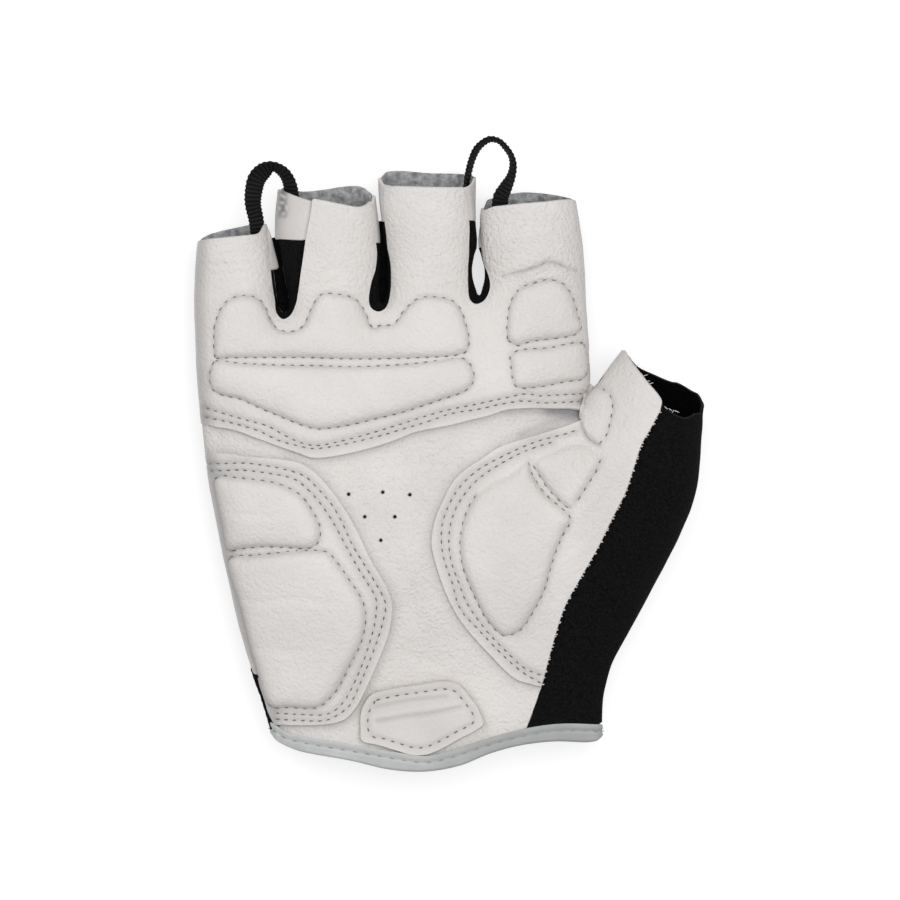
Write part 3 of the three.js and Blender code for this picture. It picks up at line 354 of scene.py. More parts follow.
def net(outline, gap, guides=(), holes=()):
    """Triangles over an unrolled outline: even places inside it, and rows of places along its guides."""
    outline = outline[np.linalg.norm(outline - np.roll(outline, -1, 0), axis=1) > 0.05]
    rims = [outline, *holes]
    edge = np.vstack(rims)
    low, high = outline.min(0), outline.max(0)
    rows = np.arange(low[1], high[1], gap * math.sin(math.pi / 3))
    hexes = np.vstack([[(x, y) for x in np.arange(low[0] + k % 2 * gap / 2, high[0], gap)]
                       for k, y in enumerate(rows)])
    inner = np.empty((0, 2))
    for extra, least in [*((g, 0.28) for g in guides), (hexes, 0.6 * gap)]:
        extra = extra[within(extra, outline)]
        for hole in holes:
            extra = extra[~within(extra, hole)]
        inner = np.vstack([inner, far_from(extra, np.vstack([edge, inner]), least)])
    edges, start = [], 0
    for rim in rims:
        edges += [(start + i, start + (i + 1) % len(rim)) for i in range(len(rim))]
        start += len(rim)
    made = delaunay_2d_cdt([Vector(p) for p in np.vstack([edge, inner])], edges, [], 1, 1e-5)
    spots = np.array([tuple(v) for v in made[0]])
    faces = np.array(made[2])
    for hole in holes:
        faces = faces[~within(spots[faces].mean(1), hole)]
    a, b, c = (spots[faces[:, k]] for k in range(3))
    area = (b - a)[:, 0] * (c - a)[:, 1] - (b - a)[:, 1] * (c - a)[:, 0]
    faces[area < 0] = faces[area < 0][:, ::-1]
    faces = faces[np.abs(area) > 1e-7]
    used, faces = np.unique(faces, return_inverse=True)
    return spots[used], faces.reshape(-1, 3)


def normals_of(points, faces):
    a, b, c = (points[faces[:, k]] for k in range(3))
    flat = np.cross(b - a, c - a)
    out = np.zeros_like(points)
    for k in range(3):
        np.add.at(out, faces[:, k], flat)
    return out / np.maximum(np.linalg.norm(out, axis=1), 1e-12)[:, None]


def mesh_object(name, points, faces, materials, kinds=None, sharp=50, marks=None):
    mesh = bpy.data.meshes.new(name)
    mesh.from_pydata((np.asarray(points) * mm).tolist(), [], [tuple(map(int, f)) for f in faces])
    for material in materials:
        mesh.materials.append(material)
    if kinds is not None:
        mesh.polygons.foreach_set("material_index", np.asarray(kinds, np.int32))
    for mark, values in (marks or {}).items():
        mesh.attributes.new(mark, "FLOAT", "POINT").data.foreach_set("value", np.asarray(values, np.float32))
    mesh.shade_smooth()
    mesh.set_sharp_from_angle(angle=math.radians(sharp))
    made = bpy.data.objects.new(name, mesh)
    scene.collection.objects.link(made)
    return made


def fitted(made, body="glove", nodes=()):
    """Gives a piece the body that it rides on and the solids that it stands for."""
    if body:
        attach(made, body)
    if nodes:
        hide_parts(*nodes)
    return made


def closed_layer(name, plan, base, faces, height, thickness, materials, slot, nodes, bulge=0.25, shade=None,
                 grain=None, turned=None, body="glove"):
    """A closed piece of leather or cloth over part of the skin: outer face, inner face and rounded rim.

    Where turned says so, the rim is turned in and shows the outer face's material.
    """
    used, faces = np.unique(faces, return_inverse=True)
    plan, base, faces = plan[used], base[used], faces.reshape(-1, 3)
    normal = normals_of(base, faces)
    rise = height(plan, base)
    thick = thickness(plan, base) if callable(thickness) else np.full(len(base), float(thickness))
    top = base + normal * rise[:, None]
    low = base + normal * (rise - thick)[:, None]
    top[:, 2] = np.maximum(top[:, 2], 0)
    low[:, 2] = np.maximum(low[:, 2], np.where(normal[:, 2] < 0, np.maximum(thick - rise, 0), 0))
    sides = np.vstack([faces[:, [0, 1]], faces[:, [1, 2]], faces[:, [2, 0]]])
    have = set(map(tuple, sides.tolist()))
    rim = np.array([e for e in sides.tolist() if (e[1], e[0]) not in have])
    push = np.zeros_like(base)
    outward = np.cross(base[rim[:, 1]] - base[rim[:, 0]], normal[rim[:, 0]])
    np.add.at(push, rim[:, 0], outward)
    np.add.at(push, rim[:, 1], outward)
    edge = np.unique(rim)
    push = push[edge] / np.maximum(np.linalg.norm(push[edge], axis=1), 1e-12)[:, None]
    mid = (top[edge] + low[edge]) / 2 + push * (bulge * thick[edge])[:, None]
    count = len(base)
    at = np.full(count, -1)
    at[edge] = 2 * count + np.arange(len(edge))
    a, b = rim.T
    quads = np.vstack([np.column_stack([b, a, at[a], at[b]]),
                       np.column_stack([at[b], at[a], a + count, b + count])])
    rim_kinds = np.full(len(rim), min(1, len(materials) - 1))
    if turned:
        rim_kinds[turned(plan[a])] = 0
    kinds = np.r_[np.zeros(len(faces)), np.full(len(faces), len(materials) - 1), rim_kinds, rim_kinds]
    marks = {mark: field(plan, base) for mark, field in (("shade", shade), ("grain", grain)) if field}
    marks = {mark: np.r_[values, values, values[edge]] for mark, values in marks.items()}
    made = mesh_object(name, np.vstack([top, low, mid]), [*faces, *(faces[:, ::-1] + count), *quads],
                       materials, kinds, marks=marks)
    return fitted(made, body, nodes)


same_place = 0.06


def layer(name, patches, *finish, **more):
    """A closed piece over one or more patches of skin, which are joined where their rims meet."""
    plan, base, faces = np.empty((0, 2)), np.empty((0, 3)), np.empty((0, 3), int)
    for outline, gap, side, guides, holes in patches:
        spots, some = net(outline, gap, guides, holes)
        p, point = lifted(spots, side)
        owner = len(base) + np.arange(len(point))
        if len(base):
            tree = search_tree(base)
            hits = [tree.find(q) for q in point]
            owner = np.array([h[1] if h[2] < same_place else o for h, o in zip(hits, owner)])
        faces = np.vstack([faces, owner[some if side > 0 else some[:, ::-1]]])
        plan, base = np.vstack([plan, p]), np.vstack([base, point])
    apart = (faces[:, 0] != faces[:, 1]) & (faces[:, 1] != faces[:, 2]) & (faces[:, 0] != faces[:, 2])
    return closed_layer(name, plan, base, faces[apart], *finish, **more)


def node_group(name, inputs, outputs):
    group = bpy.data.node_groups.new(name, "ShaderNodeTree")
    for socket, kind, value in inputs:
        made = group.interface.new_socket(socket, in_out="INPUT", socket_type=kind)
        if value is not None:
            made.default_value = value
    for socket, kind in outputs:
        group.interface.new_socket(socket, in_out="OUTPUT", socket_type=kind)
    start = group.nodes.new("NodeGroupInput").outputs
    end = group.nodes.new("NodeGroupOutput").inputs
    return group, start, end


def add(tree, kind, links=(), **settings):
    """A node with its settings and its inputs: a value, or the socket it is linked from."""
    node = tree.nodes.new(kind)
    for key, value in settings.items():
        setattr(node, key, value)
    for socket, value in links:
        if isinstance(value, bpy.types.NodeSocket):
            tree.links.new(value, node.inputs[socket])
        else:
            node.inputs[socket].default_value = value
    return node


def pore_group():
    """Grain of leather: pebbles between fine pores, soft wrinkles and a cloudy tone."""
    tree, start, end = node_group(
        "leather_grain",
        [("Place", "NodeSocketVector", None), ("Pebbles per Metre", "NodeSocketFloat", 1400)],
        [("Height", "NodeSocketFloat"), ("Tone", "NodeSocketFloat")],
    )
    size = start["Pebbles per Metre"]
    bent = add(tree, "ShaderNodeTexNoise", [("Vector", start["Place"]), ("Scale", 220), ("Detail", 2)])
    warp = add(tree, "ShaderNodeVectorMath", [(0, bent.outputs["Color"]), (3, 0.0012)], operation="SCALE")
    moved = add(tree, "ShaderNodeVectorMath", [(0, start["Place"]), (1, warp.outputs[0])])
    cells = add(tree, "ShaderNodeTexVoronoi", [("Vector", moved.outputs[0]), ("Scale", size)],
                feature="SMOOTH_F1")
    fine = add(tree, "ShaderNodeTexNoise", [("Vector", moved.outputs[0]), ("Scale", 900), ("Detail", 4)])
    soft = add(tree, "ShaderNodeTexNoise", [("Vector", moved.outputs[0]), ("Scale", 190), ("Detail", 3)])
    mixed = add(tree, "ShaderNodeMath", [(0, cells.outputs["Distance"]), (1, -0.75),
                                         (2, fine.outputs["Fac"])],
                operation="MULTIPLY_ADD")
    whole = add(tree, "ShaderNodeMath", [(0, soft.outputs["Fac"]), (1, 0.35), (2, mixed.outputs[0])],
                operation="MULTIPLY_ADD")
    cloud = add(tree, "ShaderNodeTexNoise", [("Vector", start["Place"]), ("Scale", 60), ("Detail", 5)])
    tree.links.new(whole.outputs[0], end["Height"])
    tree.links.new(cloud.outputs["Fac"], end["Tone"])
    return tree


def nap_group():
    """Nap of cloth: short tangled fibres, with lighter and darker tufts."""
    tree, start, end = node_group(
        "cloth_nap",
        [("Place", "NodeSocketVector", None), ("Tufts per Metre", "NodeSocketFloat", 900)],
        [("Height", "NodeSocketFloat"), ("Tone", "NodeSocketFloat")],
    )
    tufts = start["Tufts per Metre"]
    curl = add(tree, "ShaderNodeTexNoise", [("Vector", start["Place"]), ("Scale", tufts), ("Detail", 6),
                                            ("Roughness", 0.7), ("Distortion", 0.8)])
    pile = add(tree, "ShaderNodeTexVoronoi", [("Vector", start["Place"]), ("Scale", tufts)])
    both = add(tree, "ShaderNodeMath", [(0, pile.outputs["Distance"]), (1, -0.5), (2, curl.outputs["Fac"])],
               operation="MULTIPLY_ADD")
    speck_size = add(tree, "ShaderNodeMath", [(0, tufts), (1, 0.7)], operation="MULTIPLY")
    patch = add(tree, "ShaderNodeTexNoise", [("Vector", start["Place"]), ("Scale", speck_size.outputs[0]),
                                             ("Detail", 6), ("Roughness", 0.65)])
    tree.links.new(both.outputs[0], end["Height"])
    tree.links.new(patch.outputs["Fac"], end["Tone"])
    return tree


def rib_group():
    """Ribs of a woven tape: close rows of thread across the run, given by a distance along it."""
    tree, start, end = node_group(
        "tape_ribs",
        [("Place", "NodeSocketVector", None), ("Threads per Metre", "NodeSocketFloat", 1500)],
        [("Height", "NodeSocketFloat"), ("Tone", "NodeSocketFloat")],
    )
    waves = add(tree, "ShaderNodeTexWave", [("Vector", start["Place"]), ("Scale", start["Threads per Metre"]),
                                            ("Distortion", 1.5), ("Detail", 2), ("Detail Scale", 1.5)],
                bands_direction="DIAGONAL")
    fuzz = add(tree, "ShaderNodeTexNoise", [("Vector", start["Place"]), ("Scale", 1800), ("Detail", 4)])
    both = add(tree, "ShaderNodeMath", [(0, fuzz.outputs["Fac"]), (1, 0.8), (2, waves.outputs["Fac"])],
               operation="MULTIPLY_ADD")
    cloud = add(tree, "ShaderNodeTexNoise", [("Vector", start["Place"]), ("Scale", 150), ("Detail", 5)])
    tree.links.new(both.outputs[0], end["Height"])
    tree.links.new(cloud.outputs["Fac"], end["Tone"])
    return tree


leather_grain = pore_group()
cloth_nap = nap_group()
tape_ribs = rib_group()


def finish(name, group, density, light, dark, shade_mark_colour, roughness, depth, sheen=0.0, specular=0.4):
    """A material: two tones of one colour, a darker colour mixed in where the mesh's shade mark says, and a
    surface.
    """
    material = bpy.data.materials.new(name)
    material.use_nodes = True
    tree = material.node_tree
    shader = tree.nodes["Principled BSDF"]
    where = add(tree, "ShaderNodeTexCoord")
    grain = add(tree, "ShaderNodeGroup", node_tree=group)
    tree.links.new(where.outputs["Object"], grain.inputs["Place"])
    grain.inputs[1].default_value = density
    spread = add(tree, "ShaderNodeMapRange", [("Value", grain.outputs["Tone"]), ("From Min", 0.35),
                                              ("From Max", 0.65)])
    tones = add(tree, "ShaderNodeMix", [(0, spread.outputs[0]), (6, (*dark, 1)), (7, (*light, 1))],
                data_type="RGBA")
    # The shade mark mixes in painted shade along seams, creases, hollows and rib grooves; on the ring wrap it
    # gives a grey mottle, and on the cuff tape a darkening towards one end.
    mark = add(tree, "ShaderNodeAttribute", attribute_name="shade")
    shaded = add(tree, "ShaderNodeMix", [(0, mark.outputs["Fac"]), (6, tones.outputs[2]), (7, (*shade_mark_colour, 1))],
                 data_type="RGBA")
    gloss = add(tree, "ShaderNodeMapRange", [("Value", grain.outputs["Tone"]), ("From Min", 0.3),
                                             ("From Max", 0.7),
                                             ("To Min", roughness - 0.06), ("To Max", roughness + 0.06)])
    coarse = add(tree, "ShaderNodeAttribute", attribute_name="grain")
    deep = add(tree, "ShaderNodeMath", [(0, coarse.outputs["Fac"]), (1, 0.9), (2, 1)],
               operation="MULTIPLY_ADD")
    height = add(tree, "ShaderNodeMath", [(0, grain.outputs["Height"]), (1, deep.outputs[0])],
                 operation="MULTIPLY")
    bump = add(tree, "ShaderNodeBump", [("Height", height.outputs[0]), ("Distance", depth), ("Strength", 1)])
    tree.links.new(shaded.outputs[2], shader.inputs["Base Color"])
    tree.links.new(gloss.outputs[0], shader.inputs["Roughness"])
    tree.links.new(bump.outputs[0], shader.inputs["Normal"])
    shader.inputs["Sheen Weight"].default_value = sheen
    shader.inputs["Sheen Roughness"].default_value = 0.6
    shader.inputs["Specular IOR Level"].default_value = specular
    return material


# The leather's shade-mark colours are painted shade, for its seams, creases, hollows and rolled sides.
white_leather = finish("white_leather", leather_grain, 1500, (0.745, 0.717, 0.696), (0.68, 0.655, 0.635),
                       (0.28, 0.276, 0.28), 0.6, 0.00024)
raw_edge = finish("raw_leather_edge", cloth_nap, 1500, (0.71, 0.68, 0.65), (0.58, 0.556, 0.53),
                  (0.5, 0.48, 0.46), 0.9, 0.0001)
flesh_side = finish("flesh_side", cloth_nap, 1300, (0.5, 0.49, 0.48), (0.4, 0.39, 0.39), (0.3, 0.3, 0.3),
                    0.9, 0.0001)
leather_thickness = 0.9
left_wrap = -1.6
panelRimsPx = {
    "little": [(198, 241), (212, 239.5), (225, 238.5), (245, 236.5), (260, 234), (264, 229), (266, 224)],
    "little_fold": [(267, 228), (268, 240), (270, 262), (272, 280), (275, 300), (277, 313), (283, 319.5),
                    (290, 316), (296, 305), (299, 290), (301, 275), (303, 262), (306, 242), (308, 230),
                    (311, 215), (313, 201)],
    "ring": [(314, 200), (330, 203), (345, 206), (358, 208), (364, 207), (368, 205), (371, 202)],
    "ring_fold": [(372, 206), (373, 215), (375, 235), (377, 255), (375, 272), (371, 285), (369, 300),
                  (371, 308), (378, 312), (385, 309), (389, 300), (391, 285), (391, 268), (388, 250),
                  (386, 235), (384, 215), (384, 191)],
    "middle": [(385, 185.5), (388, 187), (400, 187.5), (430, 188.5), (450, 188.5), (459, 188.5),
               (462.5, 188)],
    "middle_fold": [(464, 190), (466, 202), (469, 221), (469, 250), (468, 270), (468, 285), (470, 300),
                    (476, 304.5), (484, 301), (489, 292), (490, 284), (488, 275), (484, 265), (482, 255),
                    (481, 248), (480, 228), (480, 215)],
    "index": [(481, 212), (492, 208), (500, 207), (520, 205), (545, 203), (560, 201), (575, 200)],
    "raw": [(583, 408), (550, 408), (525, 408), (505, 410), (490, 415), (470, 420), (450, 425), (415, 432),
            (400, 438), (380, 445), (345, 454), (313, 457.5), (300, 453), (285, 448), (255, 437), (235, 430),
            (212, 426)],
}
seamRowsPx = {
    "knuckle_upper": [(205, 408), (232, 416), (250, 421), (268, 426), (281, 433), (297, 441), (315, 445.5),
                      (340, 441.5), (365, 435), (392, 427), (420, 418), (440, 412), (460, 407.5),
                      (480, 403.5), (505, 398), (528, 394), (538, 396), (560, 395), (585, 394)],
    "knuckle_lower": [(204, 417), (232, 423), (247, 427), (262, 432), (278, 440), (300, 446), (315, 448.5),
                      (345, 444), (380, 436), (400, 430), (430, 421), (450, 414), (480, 409), (500, 404.5),
                      (525, 401), (540, 403), (583, 401.5)],
}
padsPx = {
    "knuckle_pad_upper": (1.9, [
        (216, 358), (214, 340), (214, 330), (217, 318), (224, 305), (232, 299), (242, 296), (254, 297),
        (262, 301), (268, 310), (271, 319), (275, 326), (281, 330), (290, 331.5), (298, 330), (304, 325),
        (310, 312), (314, 304), (318, 298), (324, 294), (335, 294.5), (350, 297), (358, 301), (364, 309),
        (368, 318), (371, 326), (376, 328), (381, 325), (391, 325), (396, 322), (404, 310), (411, 304),
        (418, 299), (428, 297), (437, 297.5), (447, 299), (456, 303), (462, 311), (465, 322), (468, 332),
        (469, 342), (467, 351), (457, 355), (415, 358), (350, 359), (300, 357.5), (230, 358)]),
    "knuckle_pad_lower": (1.9, [
        (215, 362), (240, 363.5), (270, 365), (320, 366), (350, 367), (400, 365), (430, 362), (462, 358.5),
        (468, 362), (472, 368), (474, 377), (472, 384), (465, 391), (440, 400), (400, 413), (375, 419),
        (350, 425), (330, 428), (319, 429), (308, 427), (277, 415), (258, 407), (240, 399), (222, 395),
        (213, 390), (210, 382), (210, 372)]),
    "index_pad_upper": (1.6, [
        (508, 340), (507, 322), (510, 303), (515, 294), (523, 287), (533, 284), (545, 280.5), (555, 281),
        (563, 284), (570, 292), (575, 302), (578, 315), (582, 328), (575, 335), (560, 338), (530, 342),
        (516, 346)]),
    "index_pad_lower": (1.4, [
        (584, 344), (575, 343), (550, 348), (522, 350), (515, 352), (510, 357), (511, 368), (512, 377),
        (516, 387), (535, 387.5), (565, 382), (586, 377)]),
    "heel_pad_upper": (2.2, [
        (215, 480), (220, 476), (235, 477.5), (250, 479), (270, 481.5), (285, 486), (300, 494), (308, 503),
        (319, 522), (321, 530), (320, 538), (316, 545), (308, 548), (285, 547), (262, 546.5), (238, 549),
        (229, 551), (222, 520)]),
    "heel_pad_lower": (2.4, [
        (230, 558), (250, 555.5), (270, 553.5), (308, 550), (328, 552), (336, 560), (350, 580), (361, 597),
        (366, 613), (362, 640), (350, 665), (335, 692), (320, 706), (310, 708), (290, 707), (270, 706),
        (256, 668), (242, 612)]),
    "thenar_pad": (2.4, [
        (528, 462), (510, 475), (490, 484), (473, 500), (463, 522), (460, 545), (463, 567), (474, 595),
        (488, 621), (503, 635), (512, 634), (522, 628), (533, 611), (543, 592), (549, 572), (555, 552),
        (563, 533), (570, 519), (555, 503), (545, 494), (537, 483), (531, 472)]),
    "thumb_root_pad": (1.7, [
        (533, 465), (540, 477), (548, 489), (568, 508), (576, 501), (587, 484), (598, 465), (599, 459),
        (592, 450), (578, 445), (553, 452)]),
    "thumb_crotch_pad": (1.5, [
        (597, 387), (586, 395.5), (580.5, 406), (578.5, 418), (582, 431), (590, 440), (598, 444), (604, 437),
        (609, 420), (611, 404), (607, 392)]),
}
pads = {name: (rise, course(px, 0.8, True)) for name, (rise, px) in padsPx.items()}
pad_swell = 1.6


def pad_depth(p, outline):
    """How far inside a pad's outline a place lies; negative outside it."""
    far = np.abs(row_distance(p, np.vstack([outline, outline[:1]])))
    return np.where(within(p, outline), far, -far)


def near_box(p, row, margin):
    return np.flatnonzero((p > row.min(0) - margin).all(1) & (p < row.max(0) + margin).all(1))


def crown(p, names=pads):
    """How high the pads push the leather out."""
    rise = np.zeros(len(p))
    for name in names:
        high, outline = pads[name]
        at = near_box(p, outline, 0.1)
        if len(at):
            depth = np.maximum(pad_depth(p[at], outline), 0)
            rise[at] = np.maximum(rise[at], high * (1 - np.exp(-depth / pad_swell)) ** 0.8)
    return rise


def groove(p, rows, depth, width):
    """A shallow channel pulled in along rows of stitches."""
    sunk = np.zeros(len(p))
    for row in rows:
        at = near_box(p, row, 4 * width)
        if len(at):
            far = np.abs(row_distance(p[at], row))
            sunk[at] = np.maximum(sunk[at], depth * np.exp(-(far / width) ** 2))
    return sunk


def fold(p, px, depth, width):
    """A crease of the leather along a row, with a low ridge beside it."""
    row = course(px, 1)
    out = np.zeros(len(p))
    at = near_box(p, row, 4 * width)
    if len(at):
        far = row_distance(p[at], row)
        ends = np.minimum(*(np.linalg.norm(p[at] - e, axis=1) for e in (row[0], row[-1])))
        fade = smooth(0, 4, ends)
        out[at] = fade * depth * (0.6 * np.exp(-((far - 1.6 * width) / width) ** 2)
                                  - np.exp(-(far / width) ** 2))
    return out


def near_spot(p, px, size):
    return np.exp(-(np.linalg.norm(p - place(px), axis=1) / size) ** 2)


def cloud(p, size, seed):
    """Slow unevenness of hand-stretched leather, as a sum of a few waves."""
    draw = np.random.default_rng(seed)
    out = np.zeros(len(p))
    for _ in range(7):
        turn, phase = draw.uniform(0, 2 * math.pi), draw.uniform(0, 2 * math.pi)
        stretch = draw.uniform(0.6, 1.7)
        out += np.sin((p @ (math.cos(turn), math.sin(turn))) * 2 * math.pi / (size * stretch) + phase)
    return out / 7


seam_rows = [course(px, 0.8) for px in seamRowsPx.values()]
pad_rows = {name: np.vstack([outline, outline[:1]]) for name, (_, outline) in pads.items()}
fingerCreasesPx = [
    ([(503, 276), (525, 271), (540, 266), (548, 262.5), (560, 265), (575, 271)], 0.75, 0.55),
    ([(303, 291), (318, 282), (332, 272), (347, 268)], 0.34, 0.7),
    ([(309, 282), (325, 272), (340, 262)], 0.26, 0.6),
    ([(318, 291), (330, 284), (344, 280)], 0.2, 0.6),
    ([(203, 255), (225, 256), (245, 254), (264, 256)], 0.22, 0.5),
    ([(201, 264), (222, 266), (246, 264), (268, 267)], 0.2, 0.5),
    ([(216, 273), (232, 275), (250, 272)], 0.14, 0.5),
    ([(400, 258), (420, 262), (442, 258)], 0.16, 0.7),
    ([(395, 275), (425, 280), (455, 274)], 0.12, 0.8),
    ([(520, 232), (545, 228), (568, 232)], 0.1, 0.7),
    ([(330, 240), (345, 246), (362, 243)], 0.1, 0.7),
    ([(475, 330), (485, 345), (492, 372)], 0.2, 0.9),
    ([(283, 324), (280, 330), (268, 338)], 0.12, 0.6),
]
finger_creases = [course(px, 0.8) for px, _, _ in fingerCreasesPx]
finger_pads = ["knuckle_pad_upper", "knuckle_pad_lower", "index_pad_upper", "index_pad_lower"]
finger_pad_rows = [pad_rows[name] for name in finger_pads]
pad_channel = (0.34, 0.55)
crotchPx = (588, 402)


def sewn_leather(p, names, outlines, rows, creasesPx, waves, seed, channel=(0.3, 0.5)):
    """Height of a leather panel over its pads, with the channels of its stitches, its creases and waves."""
    rise = crown(p, names) + 0.12 * cloud(p, waves[0], seed) + 0.05 * cloud(p, waves[1], seed + 1)
    rise -= groove(p, outlines, *pad_channel)
    rise -= groove(p, rows, *channel)
    for px, depth, width in creasesPx:
        rise += fold(p, px, depth, width)
    return rise


def finger_height(p, base=None):
    rise = sewn_leather(p, finger_pads, finger_pad_rows, seam_rows, fingerCreasesPx, (9, 3.2), 3, (0.32, 0.5))
    return rise - 0.8 * near_spot(p, crotchPx, 2.4)


# Painted shade along rows of stitches, creases and edges.
def seam_shade(p, rows, width=1.3, most=0.3):
    return groove(p, rows, most, width)


def sewn_shade(p, rows, outlines):
    """Painted shade along a panel's seam channels, and less of it round its pads."""
    return seam_shade(p, rows) + 0.6 * seam_shade(p, outlines, 0.9)


def side_shade(p, most=0.34):
    """Painted shade on white leather where it is rolled round the little finger's side and turns away from
    the light.
    """
    depth = read(fields[:1], p)[0]
    return most * smooth(4.4, 1.2, depth) * smooth(0.15, 0.75, depth)


def pebbled(p, base=None):
    """Where the leather is not stretched over a pad its grain stands out: most on the index finger."""
    left, right = place([(370, 0), (500, 0)])[:, 0]
    return smooth(*plan_y(296, 280), p[:, 1]) * (0.25 + 0.5 * smooth(left, right, p[:, 0]))


def guides_along(rows, offsets=(0, -0.42, 0.42, -0.95, 0.95), step=0.55):
    """Rows of mesh places along lines and beside them, so that channels and edges come out crisp."""
    out = []
    for row in rows:
        run = even(row, step)
        out += [run - right_of(run) * offset for offset in offsets]
    return [unroll(g) for g in out]


palm_gap = 0.62
crotch_reach = 0.1
leather_faces = [white_leather, raw_edge, flesh_side]


def crotch_wrap(y):
    return left_wrap + (crotch_reach - left_wrap) * smooth(*plan_y(340, 372), y)


stall_rims = [name for name in panelRimsPx if name != "raw"]
finger_outline = np.vstack([
    edge_run("left", 424, 241, left_wrap),
    *(drawn(panelRimsPx[name]) for name in stall_rims),
    edge_run("crotch", 200, 386, crotch_wrap),
    drawn(panelRimsPx["raw"]),
])
finger_guides = guides_along(finger_pad_rows + seam_rows) + guides_along(finger_creases, (0, -0.5, 0.5))
# Painted shade on the finger leather: along its seams and round its pads, on its rolled left side and in the
# index finger's crease.
layer(
    "finger_palm_leather", [(finger_outline, palm_gap, 1, finger_guides, ())],
    finger_height, leather_thickness, leather_faces, "white_leather", ["finger_palm_panel"],
    shade=lambda p, base: (sewn_shade(p, seam_rows, finger_pad_rows) + side_shade(p)
                           + seam_shade(p, finger_creases[:1], 0.5, 0.4)),
    grain=pebbled,
)

# Seam and pad stitches of the fingers: grey waxed thread, a stitch about every two millimetres, each sunk
# into the channel that it pulls in the leather.
thread_finish = finish("grey_thread", tape_ribs, 6000, (0.25, 0.242, 0.235), (0.15, 0.145, 0.142),
                       (0.1, 0.1, 0.1), 0.6, 0.00003)
stitch_pitch = 2.1
pad_pitch = 2.35
stitch_length = 1.05
stitch_width = 0.37
capsule_rings = 5
capsule_sides = 8


def ring_faces(count, size):
    """Faces of a closed body through rings of places: its sides and its two ends."""
    sides = [(i * size + k, i * size + (k + 1) % size, (i + 1) * size + (k + 1) % size, (i + 1) * size + k)
             for i in range(count - 1) for k in range(size)]
    return sides + [tuple(range(size))[::-1], tuple((count - 1) * size + k for k in range(size))]


def capsules(centres, along, out, length, width, flat=0.7):
    """Short thread lengths with round ends, one for each place."""
    u = np.linspace(-1, 1, capsule_rings)
    girth = np.sqrt(np.clip(1 - np.abs(u) ** 3, 0.03, 1))
    turn = 2 * math.pi * np.arange(capsule_sides) / capsule_sides
    across = np.cross(out, along)
    across = across / np.linalg.norm(across, axis=1)[:, None]
    out = np.cross(along, across)
    points, faces = [], []
    one = ring_faces(capsule_rings, capsule_sides)
    size = capsule_rings * capsule_sides
    lengths = np.broadcast_to(length, len(centres))
    for i, (c, a, s, o) in enumerate(zip(centres, along, across, out)):
        for ui, g in zip(u, girth):
            ring = (np.outer(np.cos(turn), s) * g * width / 2
                    + np.outer(np.sin(turn), o) * g * width / 2 * flat)
            points.append(c + a * ui * lengths[i] / 2 + ring)
        faces += [tuple(v + i * size for v in f) for f in one]
    return np.vstack(points), faces


def skin_frame(plan, height, side=1):
    """Points on a piece's outer face at plan places, with the direction out of it."""
    q = unroll(plan)
    step = 0.25
    base = lifted(q, side)[1]
    right, up = (lifted(q + np.array(d), side)[1] - lifted(q - np.array(d), side)[1]
                 for d in ((step, 0), (0, step)))
    out = np.cross(right, up) * side
    out = out / np.linalg.norm(out, axis=1)[:, None]
    return base + out * height(plan, base)[:, None], out


def stitch_places(row, pitch, skip_ends=0.6):
    far = np.linalg.norm(np.diff(row, axis=0), axis=1).sum()
    count = max(1, int((far - 2 * skip_ends) / pitch))
    run = even(row, (far - 2 * skip_ends) / count / 8)
    cut = np.linspace(skip_ends, far - skip_ends, count + 1)
    reach = np.r_[0, np.cumsum(np.linalg.norm(np.diff(run, axis=0), axis=1))]
    return np.stack([np.interp(cut, reach, run[:, k]) for k in range(2)], 1)


def sew(name, rows, pitch, height, side=1, length=stitch_length, width=stitch_width,
        finish=None, seed=1, lift=0.05, body="glove", turn=0.0):
    """One piece of thread for rows of stitches that lie on a piece's outer face."""
    draw = np.random.default_rng(seed)
    points, faces = [], []
    for row in rows:
        at = stitch_places(row, pitch)
        ahead = np.gradient(at, axis=0)
        ahead = ahead / np.linalg.norm(ahead, axis=1)[:, None]
        angle = turn + draw.normal(0, 0.06, len(at))
        ahead = np.column_stack([ahead[:, 0] * np.cos(angle) - ahead[:, 1] * np.sin(angle),
                                 ahead[:, 0] * np.sin(angle) + ahead[:, 1] * np.cos(angle)])
        half = length / 2 * draw.uniform(0.85, 1.08, len(at))
        first, out = skin_frame(at - ahead * half[:, None], height, side)
        last, _ = skin_frame(at + ahead * half[:, None], height, side)
        along = last - first
        span = np.linalg.norm(along, axis=1)
        keep = (span < 3 * length) & (span > 0.2 * length)
        some, more = capsules(((first + last) / 2 + out * lift)[keep], (along / span[:, None])[keep],
                              out[keep], np.minimum(span, 1.4 * length)[keep], width)
        faces += [tuple(v + sum(map(len, points)) for v in f) for f in more]
        points.append(some)
    made = mesh_object(name, np.vstack(points), faces, [finish or thread_finish], sharp=80)
    return fitted(made, body)


sew("knuckle_seam_stitches", seam_rows, stitch_pitch, finger_height, seed=11)
sew("finger_pad_stitches", finger_pad_rows, pad_pitch, finger_height, seed=12)

